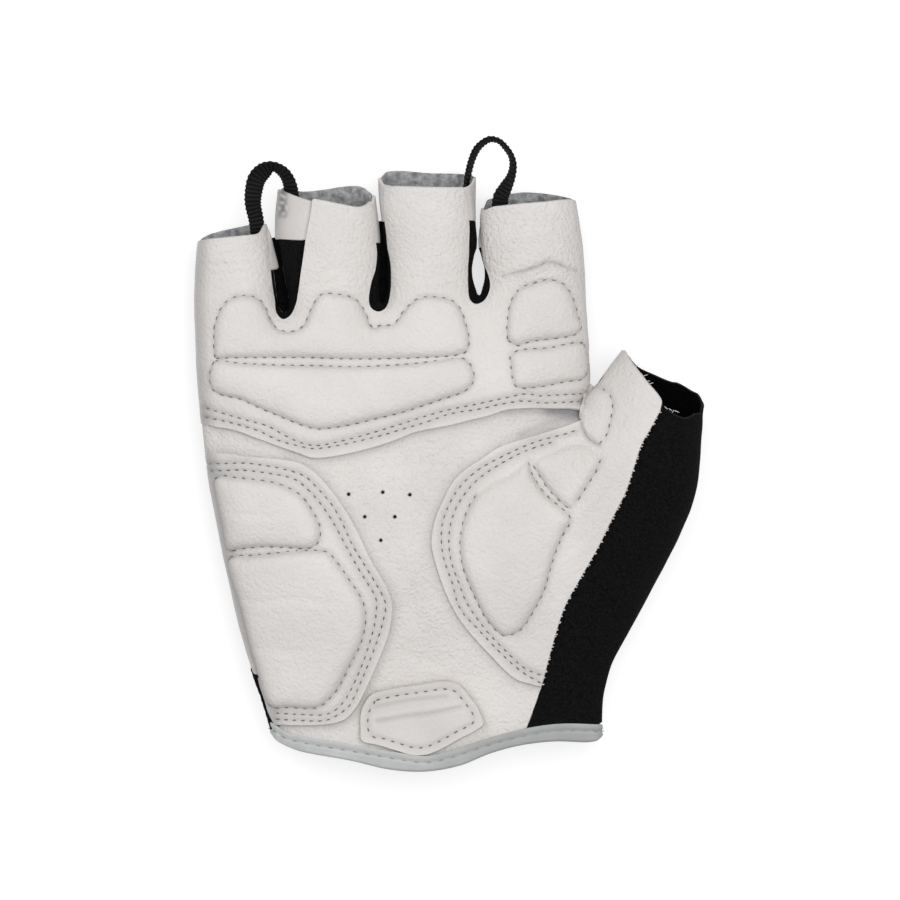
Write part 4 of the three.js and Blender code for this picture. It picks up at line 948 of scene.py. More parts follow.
# Leather of the heel: a second panel over the outer side of the palm, raw at its edge, with two rows of
# stitches beside the edge and two raised pads under it.
heelEdgePx = [(205, 452), (230, 454.5), (250, 457), (285, 460), (300, 463), (312, 470), (322, 479),
              (340, 502), (357, 530), (370, 558), (388, 590), (392, 605), (391, 620), (388, 635), (375, 668),
              (360, 700), (352, 712), (344, 719), (330, 723), (310, 724.5), (285, 724.5)]
heel_foot_reach = 1.3
wedgeEdgePx = [(275.5, 725), (272, 720.5), (268, 712), (264, 701), (260, 690), (257, 678)]
heelRowsPx = {
    "heel_outer": [(207, 464), (225, 463.5), (245, 463), (262, 465), (280, 468), (305, 476), (318, 488),
                   (332, 504), (342, 521), (352, 543), (362, 560), (376, 583), (384, 598), (386, 605),
                   (383, 622), (375, 647), (365, 672), (353, 699), (348, 707), (333, 717), (325, 720),
                   (300, 720), (275, 719)],
    "heel_inner": [(209, 471), (225, 470.5), (240, 470), (268, 473), (295, 479), (307, 488), (320, 502),
                   (333, 521), (346, 545), (358, 567), (371, 588), (376, 597), (376, 617), (370, 642),
                   (360, 670), (346, 698), (335, 710), (325, 714), (300, 714), (275, 713)],
}
heel_pads = ["heel_pad_upper", "heel_pad_lower"]
heel_pad_rows = [pad_rows[name] for name in heel_pads]
heel_rows = [course(px, 0.8) for px in heelRowsPx.values()]
heelCreasesPx = [
    ([(232, 590), (262, 600), (300, 596), (335, 604)], 0.14, 1.1),
    ([(246, 640), (280, 650), (320, 645)], 0.12, 1.2),
    ([(228, 510), (262, 516), (300, 512)], 0.12, 1.0),
    ([(262, 548), (275, 556), (292, 560)], 0.14, 0.7),
]


def heel_height(p, base=None):
    return sewn_leather(p, heel_pads, heel_pad_rows, heel_rows, heelCreasesPx, (11, 3.5), 7)


def heel_wrap(y):
    return left_wrap + (heel_foot_reach - left_wrap) * smooth(*plan_y(650, 677), y)


heel_outline = np.vstack([edge_run("left", 676, 453, heel_wrap), drawn(heelEdgePx), drawn(wedgeEdgePx)])
# Painted shade on the heel leather along its seams, round its pads and on its rolled left side.
layer(
    "heel_leather", [(heel_outline, palm_gap, 1, guides_along(heel_pad_rows + heel_rows), ())],
    heel_height, leather_thickness, leather_faces, "white_leather", ["heel_panel"],
    shade=lambda p, base: sewn_shade(p, heel_rows, heel_pad_rows) + side_shade(p),
)
sew("heel_seam_stitches", heel_rows, stitch_pitch, heel_height, seed=13)
sew("heel_pad_stitches", heel_pad_rows, pad_pitch, heel_height, seed=14)

# Leather of the thumb: the third panel, from the middle of the palm round the ball of the thumb and up the
# thumb's stall, turned in at the white seam beside the black side.
thumbEdgePx = [(582, 420), (560, 428), (535, 436), (500, 447), (480, 460), (465, 470), (453, 482), (445, 497),
               (437, 515), (433, 530), (432, 545), (435, 560), (447, 595), (462, 622), (488, 652), (515, 678),
               (530, 683), (541, 686)]
thumbSeamPx = [(541, 686), (549, 655), (560, 617), (566, 602), (580, 577), (598, 545), (610, 520), (624, 492),
               (632, 468), (640, 444), (648, 430), (659, 410)]
thumbRimPx = [(659, 408), (660, 401), (645, 382), (630, 362), (623.5, 350.5)]
thumbCrotchPx = [(621.5, 350.5), (608, 368), (598, 383), (591.5, 386.5), (585.5, 397), (581, 408),
                 (579.5, 417)]
thumbRowsPx = {
    "thumb_outer": [(575, 430), (567, 433), (535, 442), (505, 455), (475, 472), (456, 492), (444, 517),
                    (441.5, 530), (443, 555), (452, 582), (460, 608), (480, 631), (500, 652), (520, 670),
                    (541, 683)],
    "thumb_inner": [(552, 442), (525, 451), (500, 464), (478, 479), (466, 492), (455, 510), (449, 535),
                    (451, 560), (459, 583), (467, 603), (487, 631), (505, 650), (525, 668), (541, 675)],
}
thumbPadRowsPx = [
    [(476, 495), (470, 504), (463, 522), (460, 545), (463, 567), (474, 595), (488, 621), (503, 635),
     (512, 634), (522, 628), (533, 611), (543, 592), (549, 572), (555, 552), (563, 533), (570, 519),
     (555, 503), (545, 494), (537, 483), (531, 472), (528, 462)],
    [(533, 465), (540, 477), (548, 489), (568, 508)],
    [(577, 500), (587, 484), (598, 465), (599, 459)],
    [(601, 388.5), (607, 392), (611, 404), (609, 420), (604, 437), (598, 444)],
]
thumb_pads = ["thenar_pad", "thumb_root_pad", "thumb_crotch_pad"]
thumb_pad_rows = [course(px, 0.8) for px in thumbPadRowsPx]
thumb_rows = [course(px, 0.8) for px in thumbRowsPx.values()]
thumbCreasesPx = [
    ([(598, 445), (590, 441), (584, 434), (581, 426), (580, 417)], 0.55, 0.5),
    ([(585, 500), (600, 480), (612, 462)], 0.25, 0.9),
    ([(570, 520), (580, 505), (592, 492)], 0.2, 0.8),
    ([(612, 440), (622, 420), (636, 404)], 0.14, 0.9),
    ([(555, 560), (572, 548), (588, 530)], 0.16, 1.0),
    ([(545, 610), (556, 596), (566, 578)], 0.12, 0.9),
]
crotch_turn = course(thumbCrotchPx[3:], 0.6)
crotch_crease = course(thumbCreasesPx[0][0], 0.8)
crotchBulgePx = (585, 401)


def thumb_height(p, base=None):
    rise = sewn_leather(p, thumb_pads, thumb_pad_rows, thumb_rows, thumbCreasesPx, (10, 3.4), 17)
    return rise + 0.5 * near_spot(p, crotchBulgePx, 2.6) - groove(p, [crotch_turn], 0.3, 0.4)


thumb_outline = np.vstack([drawn(px) for px in (thumbEdgePx, thumbSeamPx, thumbRimPx, thumbCrotchPx)])
thumb_guides = guides_along(thumb_pad_rows + thumb_rows + [crotch_turn, crotch_crease])
# Painted shade on the thumb leather along its seams, round its pads and in the crotch crease.
layer(
    "thumb_leather", [(thumb_outline, palm_gap, 1, thumb_guides, ())],
    thumb_height, leather_thickness, leather_faces, "white_leather", ["thumb_palm_panel"],
    shade=lambda p, base: (sewn_shade(p, thumb_rows, thumb_pad_rows)
                           + seam_shade(p, [crotch_crease], 0.5, 0.4)),
    turned=lambda p: np.abs(row_distance(p, crotch_turn)) < 0.6,
)
sew("thumb_seam_stitches", thumb_rows, stitch_pitch, thumb_height, seed=15)
sew("thumb_pad_stitches", thumb_pad_rows, pad_pitch, thumb_height, seed=16)
white_thread = finish("white_thread", tape_ribs, 6000, (0.72, 0.71, 0.7), (0.6, 0.6, 0.6), (0.4, 0.4, 0.4),
                      0.7, 0.00003)
overlock_turn = math.pi / 2 + 0.3
overlock_row = course([(x + 0.8, y + 0.3) for x, y in thumbSeamPx], 0.6)
for step, (size, pitch) in enumerate(((0.6, 1.75), (0.95, 3.1))):
    sew(f"thumb_overlock_{step + 1}", [overlock_row], pitch, thumb_height, length=size, width=0.4,
        finish=white_thread, seed=19 + step, lift=-0.1, turn=overlock_turn)

# Leather of the palm's middle: one plain panel that runs under the edges of the other three, with six punched
# air holes.
centre_drop = 1.0
airHolesPx = [(349, 494), (383, 492), (410, 494.5), (365, 516.5), (395, 516.5), (381, 540)]
air_hole = 1.25
centreHollowPx = (588, 407)
centreOutlinePx = [
    [(210, 420), (235, 424), (262, 431), (285, 441), (313, 450), (345, 447), (380, 438), (415, 425),
     (450, 418), (480, 412), (505, 403), (540, 402), (574, 402)],
    [(583, 405.5), (588, 409), (590, 416), (586, 424)],
    [(572, 431), (540, 440), (500, 455), (482, 466), (468, 477), (458, 488), (450, 502), (443, 520),
     (440, 545), (443, 560), (455, 592), (470, 618), (495, 646), (522, 671), (545, 680)],
    [(540, 690), (534, 707), (526.5, 727)],
    [(522, 729.5), (490, 738), (450, 751), (425, 758), (400, 753), (350, 744.5), (300, 736), (275, 729)],
    [(277, 720), (330, 716), (341, 713), (352, 698), (367, 664), (380, 633), (384, 605), (380, 592),
     (362, 562), (349, 534), (332, 506), (314, 485), (306, 477), (296, 471), (280, 467), (250, 465),
     (230, 463), (211, 461)],
]
# Rows of painted shade on the palm's middle, each with its width and its most darkening.
centreShadesPx = [
    ([(583, 409), (568, 408.5), (552, 408.5)], 2.3, 0.62),
    ([(583, 409), (560, 409), (532, 410), (508, 413)], 1.5, 0.22),
    ([(580, 417), (562, 421), (545, 427), (525, 435)], 2.4, 0.2),
    ([(581, 414), (560, 419), (540, 425), (520, 434)], 0.7, 0.16),
    ([(362, 738), (364, 705), (372, 694), (385, 690), (422, 684), (445, 681), (463, 688), (477, 706),
      (484, 724)], 0.9, 0.34),
]
centreCreasesPx = [
    ([(400, 470), (420, 478), (436, 492)], 0.12, 1.1),
    ([(395, 560), (410, 590), (415, 625)], 0.14, 1.4),
    ([(330, 470), (352, 478), (372, 474)], 0.1, 1.0),
    ([(398, 650), (430, 662), (462, 660)], 0.12, 1.2),
    ([(492, 430), (520, 424), (545, 421), (576, 422)], 0.3, 0.9),
    ([(518, 412), (540, 415), (558, 414), (578, 416)], 0.3, 0.8),
]


def centre_height(p, base=None):
    rise = 0.16 * cloud(p, 13, 27) + 0.05 * cloud(p, 4, 28) - centre_drop
    high, top, foot, low = plan_y(413, 422, 456, 464)
    side = smooth(high, top, p[:, 1]) * smooth(low, foot, p[:, 1]) * smooth(4, 0.4, read(fields[:1], p)[0])
    rise += 0.85 * centre_drop * side - 0.8 * near_spot(p, centreHollowPx, 2)
    for px, depth, width in centreCreasesPx:
        rise += fold(p, px, depth, width)
    return rise


def ring_places(centre, size, count=16):
    turn = 2 * math.pi * np.arange(count) / count
    return np.asarray(centre) + size / 2 * np.column_stack([np.cos(turn), np.sin(turn)])


centre_outline = np.vstack([drawn(px) for px in centreOutlinePx] + [edge_run("left", 458, 424, left_wrap)])
air_holes = [unroll(ring_places(place(px), air_hole)) for px in airHolesPx]
centre_guides = guides_along([course(px, 0.8) for px, _, _ in centreCreasesPx], (0, -0.6, 0.6))
lapped_edges = [course(px, 1) for px in (heelEdgePx, thumbEdgePx, panelRimsPx["raw"])]
# Painted shade on the palm's middle: beside the edges of the three panels lapped over it, in the hollow under
# the crotch and along its folds there, and a painted shadow round the wrist patch's upper edge.
layer(
    "palm_middle_leather", [(centre_outline, 0.7, 1, centre_guides, air_holes)],
    centre_height, leather_thickness, leather_faces, "white_leather", ["palm_centre_panel"],
    shade=lambda p, base: (seam_shade(p, lapped_edges, 1.8, 0.26)
                           + sum(seam_shade(p, [course(px, 1)], width, most)
                                 for px, width, most in centreShadesPx)),
    grain=lambda p, base: np.full(len(p), 0.45),
)

# Foam pads: nine soft pads between the palm's leather and its lining, each cut from sheet foam a little
# smaller than its pocket and held by the stitches round it.
foam = finish("pad_foam", cloth_nap, 1200, (0.8, 0.77, 0.7), (0.72, 0.69, 0.62), (0.6, 0.58, 0.5), 0.9,
              0.0002)
pad_inset = 1.2
pad_floor = 2.3
pad_play = 0.15


def shrunk(outline, inset, step=0.6, kept=0.93):
    """A closed row of places inside another."""
    run = even(np.vstack([outline, outline[:1]]), step)[:-1]
    along = np.roll(run, -1, 0) - np.roll(run, 1, 0)
    inward = np.column_stack([-along[:, 1], along[:, 0]]) / np.linalg.norm(along, axis=1)[:, None]
    area = np.sum(run[:, 0] * np.roll(run[:, 1], -1) - run[:, 1] * np.roll(run[:, 0], -1))
    moved = run + inward * np.sign(area) * inset
    return moved[pad_depth(moved, outline) > kept * inset]


for name, (_, outline) in pads.items():
    top = lambda p, base: crown(p, [name]) - leather_thickness - pad_play
    pad = layer(name, [(unroll(shrunk(outline, pad_inset, 0.9, 0.9)), 1.2, 1, (), ())], top,
                lambda p, base: top(p, base) + pad_floor, [foam], "foam", [name], bulge=0.2)

# Lining of the palm: grey fleece sewn in under the leather and the pads. It shows at the mouths of the finger
# stalls and through the air holes, where painted shade darkens it to a dark spot under each hole.
# The fleece's shade-mark colour is the near-black of painted shade.
fleece = finish("grey_fleece", cloth_nap, 750, (0.52, 0.525, 0.53), (0.17, 0.175, 0.185),
                (0.012, 0.012, 0.012), 0.95, 0.0005, sheen=0.15, specular=0.15)
lining_top = 2.5
lining_thickness = 0.6
side_gap = 1.3


def slot_run(line, from_y_px, to_y_px, reach):
    """Unrolled places round a slot between two stalls, from one rim to the other."""
    row = even(side_lines[line], 0.5)
    from_y, to_y = plan_y(from_y_px, to_y_px)
    start = np.flatnonzero(row[:, 1] <= from_y)[0]
    turn = row[:, 1].argmin()
    end = turn + np.flatnonzero(row[turn:, 1] <= to_y)[-1]
    row = row[start:end + 1]
    return row + right_of(row) * reach


liningRimsPx = [
    [(203, 244), (225, 241), (245, 239), (258, 237)],
    [(287, 205), (300, 207), (330, 206), (358, 210), (367, 207)],
    [(388, 190), (400, 190), (430, 191), (450, 191), (466, 190)],
    [(491, 212), (500, 210), (520, 208), (545, 206), (560, 204), (568, 203)],
]
thumbFrontRimPx = [(660, 404), (671, 414), (685, 419), (697, 414)]
cuffTopPx = [(600, 724), (565, 723), (545, 724.5), (525, 728), (490, 737), (450, 750), (425, 757), (400, 752),
             (350, 743.5), (300, 735), (275, 726)]
lining_outline = np.vstack([
    edge_run("left", 724, 244, side_gap),
    drawn(liningRimsPx[0]),
    slot_run("slot_one", 238, 207, side_gap),
    drawn(liningRimsPx[1]),
    slot_run("slot_two", 208, 192, side_gap),
    drawn(liningRimsPx[2]),
    slot_run("slot_three", 192, 214, side_gap),
    drawn(liningRimsPx[3]),
    slot_run("crotch", 205, 393, side_gap),
    drawn([(604, 396), (625, 408), (650, 425), (690, 436)]),
    edge_run("right", 440, 722, side_gap),
    drawn(cuffTopPx),
])


def slow_waves(p, base=None):
    return 0.35 * cloud(p, 8, 41) + 0.15 * cloud(p, 2.6, 42)


# Painted shade darkens the lining under each air hole.
layer("palm_lining", [(lining_outline, 1.0, 1, (), ())], lambda p, base: slow_waves(p) - lining_top,
      lining_thickness, [fleece], "grey_lining", ["palm_lining"], bulge=0.4,
      shade=lambda p, base: sum(near_spot(p, px, 1.8) for px in airHolesPx))

# Walls between the fingers: black stretch cloth round the root of each slot, and white leather bands that
# line the slot from there to the fingers' openings, both tucked under the edge of the finger leather.
black_cloth = finish("black_stretch_cloth", cloth_nap, 2300, (0.0105, 0.0098, 0.0102),
                     (0.0008, 0.0008, 0.0008), (0.03, 0.03, 0.03), 0.85, 0.0004, sheen=0.01, specular=0.04)
black_inside = finish("black_inner_face", cloth_nap, 1500, (0.003, 0.003, 0.003), (0.0005, 0.0005, 0.0005),
                      (0.01, 0.01, 0.01), 0.95, 0.0003, specular=0.02)
black_edge = finish("black_cut_edge", cloth_nap, 2300, (0.03, 0.029, 0.03), (0.006, 0.006, 0.006),
                    (0.03, 0.03, 0.03), 0.9, 0.0004, sheen=0.02, specular=0.04)
# The trim's shade-mark colour gives painted shade on the wrist patch and a grey mottle on the ring wrap.
white_trim = finish("white_trim_leather", leather_grain, 1500, (0.68, 0.655, 0.635), (0.62, 0.595, 0.58),
                    (0.22, 0.215, 0.215), 0.6, 0.00012)
wall_wrap = -1.65
wall_thickness = 0.8
wall_sink = 0.2
root_sink = {"slot_one": 0.5}
tuck_sink = 0.95
tuck = 1.4
slot_step = 0.3
ray_steps = np.arange(0.15, 14, 0.15)
finger_plan = np.vstack([*(course(panelRimsPx[name], 0.6) for name in stall_rims),
                         side_lines["crotch"][4:60:2],
                         course(panelRimsPx["raw"], 0.6), side_lines["left"][::-1][8:150:2]])


def leather_edge(foot, slope, most):
    """Reach, from each foot on a slot line, at which the finger leather begins."""
    far = rolled_in(ray_steps)
    hit = np.array([within(foot + slope * d, finger_plan) for d in far])
    found = ray_steps[np.where(hit.any(0), hit.argmax(0), len(ray_steps) - 1)]
    near = np.flatnonzero(found < most)
    return np.interp(np.arange(len(found)), near, found[near]) if len(near) else np.full(len(found), most)


def steady(values, spread=5):
    kernel = np.hanning(2 * spread + 3)[1:-1]
    padded = np.pad(values, spread, mode="edge")
    return np.convolve(padded, kernel / kernel.sum(), mode="valid")


def wall(name, foot, slope, most, material, slot, node, falls=((0, 0), (0, 0)), rims=(), swell=((0, 0),),
         rows=18, sink=wall_sink, **more):
    """A strip of cloth from the back of a slot to under the leather's edge; each end can slant across it."""
    edge = np.minimum(steady(leather_edge(foot, slope, most)), most)
    count = len(foot)
    share = np.linspace(0, 1, rows)
    ends = [(a + (b - a) * smooth(0.3, 1, share)) / slot_step for a, b in falls]
    at = np.array([np.linspace(a, count - 1 - b, count) for a, b in zip(*ends)])
    number = np.arange(count)
    foots, slants = (np.stack([np.interp(at, number, v[:, k]) for k in range(2)], -1) for v in (foot, slope))
    edges = np.interp(at, number, edge)
    under = np.full(at.shape, tuck)
    for end in rims:
        fall, steps = falls[end][1], count - 1 - at if end else at
        under = under * smooth(fall, fall + 3, steps * slot_step)
    reach = wall_wrap + (edges + under - wall_wrap) * share[:, None]
    plan, base = on_skin(foots.reshape(-1, 2), slants.reshape(-1, 2), reach.reshape(-1), 1)
    levels, amounts = zip(*sorted((*plan_y(row), amount) for row, amount in swell))
    out = np.interp(foots[..., 1], levels, amounts) * np.exp(-(reach / 1.8) ** 2)
    drop = (sink + (tuck_sink - sink) * smooth(edges - 1.1, edges - 0.1, reach) - out).reshape(-1)
    cells = [(r * count + i, r * count + i + 1, (r + 1) * count + i + 1, (r + 1) * count + i)
             for r in range(rows - 1) for i in range(count - 1)]
    faces = np.array([t for a, b, c, d in cells for t in ((a, b, c), (a, c, d))])
    whole = normals_of(base, faces)
    if (whole[(rows - 2) * count:(rows - 1) * count, 2]).mean() < 0:
        faces = faces[:, ::-1]
    return closed_layer(name, plan, base, faces, lambda p, b: -drop, wall_thickness, [material], slot, [node],
                        bulge=0.3, **more)


def slot_leg(line, from_y_px, to_y_px, leg):
    """Places and directions on one side of a slot, or round its root."""
    row = even(side_lines[line], slot_step)
    turn = row[:, 1].argmin()
    from_y, to_y = plan_y(from_y_px, to_y_px)
    number, y = np.arange(len(row)), row[:, 1]
    if leg == "root":
        keep = ((number <= turn) & (y <= from_y)) | ((number > turn) & (y <= to_y))
    else:
        keep = (number <= turn if leg == "left" else number >= turn) & (y <= from_y) & (y >= to_y)
    return row[keep], right_of(row)[keep]


slotBandsPx = {
    "slot_one": ("little_ring_fourchette", "little_inner_band", (224, 269), 0.3),
    "slot_two": ("ring_middle_fourchette", "ring_inner_band", (195.5, 243), 2.2, "middle_outer_band",
                 (178, 222), 2.0),
    "slot_three": ("middle_index_fourchette", "middle_inner_band", (177, 221), 3.0, "index_outer_band",
                   (208, 247), 1.0),
}
rootTopPx = {"slot_one": (269, 237), "slot_two": (243, 222), "slot_three": (221, 247)}
rootFalls = {"slot_one": ((0, 0), (0, 1.3))}
rootSwell = {"slot_one": ((0, 0),)}
wallSwell = {
    "slot_one": ((224, 0.5), (236, 0.8), (250, 0.9), (268, 1.2), (270, 0.4), (290, 0)),
    "slot_two": ((222, 0.3), (243, 0.3), (250, 0)),
    "slot_three": ((205, 0), (225, 0.15), (239, 0.6), (248, 0.65), (254, 0.2), (272, -0.45), (288, 0)),
}
pleatsPx = {"slot_one": 237, "slot_two": 221}
pleat_level = -2.4
pleat_lap = 0.7
pleat_thickness = 0.8
for line, (node, left_node, left_px, left_fall, *right) in slotBandsPx.items():
    wall(node.replace("fourchette", "wall"), *slot_leg(line, *rootTopPx[line], "root"), 10, black_cloth,
         "black_fabric", node, rootFalls.get(line, ((0, 0), (0, 0))),
         swell=rootSwell.get(line, wallSwell[line]), sink=root_sink.get(line, wall_sink))
    wall(left_node, *slot_leg(line, *left_px, "left"), 6.2, white_trim, "white_trim", left_node,
         ((0, left_fall), (0, 0)), (0,), wallSwell[line])
    if right:
        right_node, right_px, right_fall = right
        wall(right_node, *slot_leg(line, *right_px, "right"), 6.2, white_trim, "white_trim", right_node,
             ((0, 0), (0, right_fall)), (1,), wallSwell[line])
    if line in pleatsPx:
        rim = slot_run(line, pleatsPx[line], pleatsPx[line], pleat_lap)
        spots, pleat_faces = net(np.vstack([rim, even(rim[[-1, 0]], 0.6)[1:-1]]), 0.8)
        base = np.column_stack([spots, middle(spots) + pleat_level])
        closed_layer(node.replace("fourchette", "pleat"), spots, base, pleat_faces,
                     lambda p, b: 0.5 * cloud(p, 4, 45), pleat_thickness, [black_cloth], "black_fabric", [])

# Wrap of the ring finger: white leather laid round the stall's outer side, from the slot to under the finger
# leather, cut straight above the black cloth; its face is mottled darker grey in a band near the slot.
ringWrapPx = (189, 248)
wrap_falls = ((2.1, 0.6), (0, 2.7))


# A darker grey mottle in a band on the wrap's face near the slot.
def grey_mottle(p, base=None):
    near = np.exp(-((p[:, 0] - place((282.5, 0))[0]) / 1.2) ** 2) * smooth(*plan_y(222, 214), p[:, 1])
    return near * np.clip(0.75 + 1.6 * cloud(p, 1.3, 47), 0, 0.95)


wall("ring_outer_band", *slot_leg("slot_one", *ringWrapPx, "right"), 11, white_trim, "white_trim",
     "ring_outer_band",
     wrap_falls, (1,), ((195, 0), (205, 0.15), (225, 0.25), (240, 0.6), (248, 0.6)), rows=34, shade=grey_mottle)

# Side of the thumb: one piece of black stretch cloth from the palm's white seam, round the outer edge and
# over the back of the thumb, sewn in at that seam and held by the binding at the cuff.
thumbBackSeamPx = [(590, 392), (586, 404), (577, 430), (560, 480), (544, 540), (534, 600), (530, 660),
                   (524, 722)]
thumbBackRimPx = [(704, 404), (699, 396), (692, 392), (678, 384), (672, 383), (655, 376), (637, 367),
                  (624, 352)]
stripeTuckPx = [(519, 729), (526, 709), (533, 690), (538, 674), (544, 652), (556, 615), (562, 600),
                (576, 575), (594, 543), (606, 518), (620, 490), (628, 466), (636, 442), (644, 428),
                (657, 406)]
thumbCuffPx = [(600, 723), (583, 723), (565, 723), (545, 724.5), (528, 728)]


def stripe_height(p, base):
    seam = course([(524, 735), (534, 707), *thumbSeamPx, (660, 404)], 1)
    far = np.abs(row_distance(p, seam)) * np.where(base[:, 2] > middle(p), 1, 9)
    left = row_distance(p, seam) < 0
    deep = 0.95 + 1.15 * smooth(*plan_y(683, 691), p[:, 1])
    sunk = np.where(left & (base[:, 2] > middle(p)), deep, 0.95 - 0.85 * smooth(0, 1.6, far))
    flare = 0.25 * smooth(*plan_y(690, 718), p[:, 1]) * (far > 3)
    return 0.12 * cloud(p, 9, 51) - sunk + flare


thumb_front = np.vstack([
    drawn(stripeTuckPx), drawn(thumbFrontRimPx), edge_run("right", 412, 723, 0), drawn(thumbCuffPx),
])
thumb_back = np.vstack([
    edge_run("right", 723, 406, 0), drawn(thumbBackRimPx), edge_run("crotch", 353, 392, 1.5, part=1),
    drawn(thumbBackSeamPx), drawn(thumbCuffPx[::-1]),
])
layer("thumb_side", [(thumb_front, 0.9, 1, (), ()), (thumb_back, 1.3, -1, (), ())], stripe_height, 0.85,
      [black_cloth, black_edge, black_inside], "black_fabric", ["thumb_side_panel"], bulge=0.4)

# Frayed ends of thread at the thumb's mouth: a few short loose lengths of the overlock's white thread, left
# where the machine ran off the leather's cut edge.
fraysPx = [(634, 367), (638, 372), (642, 376), (645, 381), (648, 384), (651, 388), (664, 407), (668, 409),
           (671, 413), (674, 411)]
fray_draw = np.random.default_rng(31)
fray_plan = place(fraysPx)
fray_turn = fray_draw.uniform(-0.9, 0.9, len(fraysPx))
fray_ahead = np.column_stack([np.cos(fray_turn), np.sin(fray_turn), 0.25 * np.sin(7 * fray_turn)])
fray_ahead /= np.linalg.norm(fray_ahead, axis=1)[:, None]
fray_base, fray_out = skin_frame(fray_plan, lambda p, base: np.full(len(p), -0.3))
frays = capsules(fray_base + fray_ahead * 0.4, fray_ahead, fray_out,
                 fray_draw.uniform(0.9, 1.9, len(fraysPx)), 0.2)
fitted(mesh_object("thumb_frayed_threads", *frays, [white_thread], sharp=80))

# Back of the hand: one panel of black stretch cloth, grey and fleecy on the inside, from finger to finger and
# down to the cuff. At the heel it comes round the edge and shows beside the leather.
backRimsPx = {
    "little": [(199, 240), (210, 235), (225, 231), (240, 228), (250, 226), (264, 224)],
    "ring": [(280, 189.5), (285, 190), (300, 192.5), (320, 191), (340, 188), (352, 187), (362, 188),
             (372, 194)],
    "middle": [(381, 177), (385, 173.5), (400, 172), (430, 174), (460, 175), (474, 177)],
    "index": [(484, 207), (486, 202), (490, 200), (520, 193.5), (540, 194), (555, 196), (570, 199),
              (574, 200)],
}
back_start = 1.35
wedge_reach = -5.2
scallop = 1.9


def wedge(y):
    return back_start + (wedge_reach - back_start) * smooth(*plan_y(664, 686), y)


back_outline = np.vstack([
    edge_run("left", 731, 241, wedge),
    drawn(backRimsPx["little"]),
    slot_run("slot_one", 228, 192, back_start),
    drawn(backRimsPx["ring"]),
    slot_run("slot_two", 196, 178, back_start),
    drawn(backRimsPx["middle"]),
    slot_run("slot_three", 178, 208, back_start),
    drawn(backRimsPx["index"]),
    edge_run("crotch", 201, 386, back_start),
    drawn([(586, 396), (583, 404), (574, 430), (557, 480), (541, 540), (531, 600), (527, 660), (521, 727)]),
    drawn([(490, 737), (450, 750), (425, 757), (400, 752), (350, 743.5), (300, 735), (278, 731)]),
])


def back_height(p, base):
    rise = 0.25 * cloud(p, 14, 61) + 0.1 * cloud(p, 5, 62)
    edge = smooth(3.5, 1.0, np.abs(read(reach_field, p)[0]) * 6)
    outside = row_distance(p, course(wedgeEdgePx, 1)[::-1])
    front = (base[:, 2] > middle(p) - 0.5) & (p[:, 1] < plan_y(664))
    bumps = 0.22 * np.abs(np.sin(p[:, 1] * math.pi / scallop)) + 0.08
    return np.where(front, bumps - 1.1 * smooth(0.5, -0.2, outside), rise - 0.45 * edge)


layer("back_of_hand", [(back_outline, 1.1, -1, (), ())], back_height, 1.0, [black_cloth, fleece, fleece],
      "black_fabric", ["back_panel"], bulge=0.5, turned=lambda p: p[:, 1] < plan_y(396))

# Patch at the wrist: a thick piece of white leather sewn on over the lower edge of the palm, raw and cream at
# its cut edge, with soft slanted ribs pressed into its upper half.
patchPx = [(372, 694), (385, 690), (400, 687), (422, 684), (445, 681), (456, 683), (463, 688), (470, 697),
           (477, 706), (481, 715), (483, 723), (473, 731), (460, 737.5), (445, 746), (432, 752), (424, 754),
           (412, 754), (395, 749), (378, 744), (362, 739.5), (361, 728), (361, 715), (364, 705)]
ribsPx = [[(376, 707), (395, 703), (412, 700), (446, 696.5)],
          [(374, 713.5), (405, 707.5), (440, 703), (460, 699.5)],
          [(378, 721.5), (405, 716.5), (433, 713), (460, 707)]]
rib_depths = [0.4, 0.16, 0.5]
patch_top = 0.45
patch_thickness = 1.3
patch_inset = 1.85
cream_edge = finish("cream_cut_edge", cloth_nap, 1500, (0.76, 0.7, 0.6), (0.62, 0.56, 0.48),
                    (0.5, 0.48, 0.46), 0.85, 0.0001)
patch_outline = course(patchPx, 0.6, True)
patch_row = spline(shrunk(patch_outline, patch_inset, 2.4), True, 6)
rib_rows = [course(px, 0.6) for px in ribsPx]


def patch_height(p, base=None):
    rise = np.full(len(p), patch_top) + 0.05 * cloud(p, 7, 71)
    rise -= groove(p, [patch_row], 0.26, 0.5)
    for row, depth in zip(rib_rows, rib_depths):
        rise -= groove(p, [row], depth, 0.6)
    return rise + 0.16 * np.exp(-np.maximum(pad_depth(p, patch_outline), 0) / 0.6)


patch_guides = guides_along([patch_row, *rib_rows], (0, -0.4, 0.4))
# Painted shade in the patch's stitch channel and in its first and last rib grooves.
layer("wrist_patch", [(unroll(patch_outline), 0.45, 1, patch_guides, ())], patch_height, patch_thickness,
      [white_trim, cream_edge, flesh_side], "white_trim", ["wrist_patch"], bulge=0.12,
      shade=lambda p, base: seam_shade(p, [patch_row], 0.8, 0.16) + seam_shade(p, rib_rows[::2], 0.6, 0.2))
sew("wrist_patch_stitches", [patch_row], pad_pitch, patch_height, seed=17)

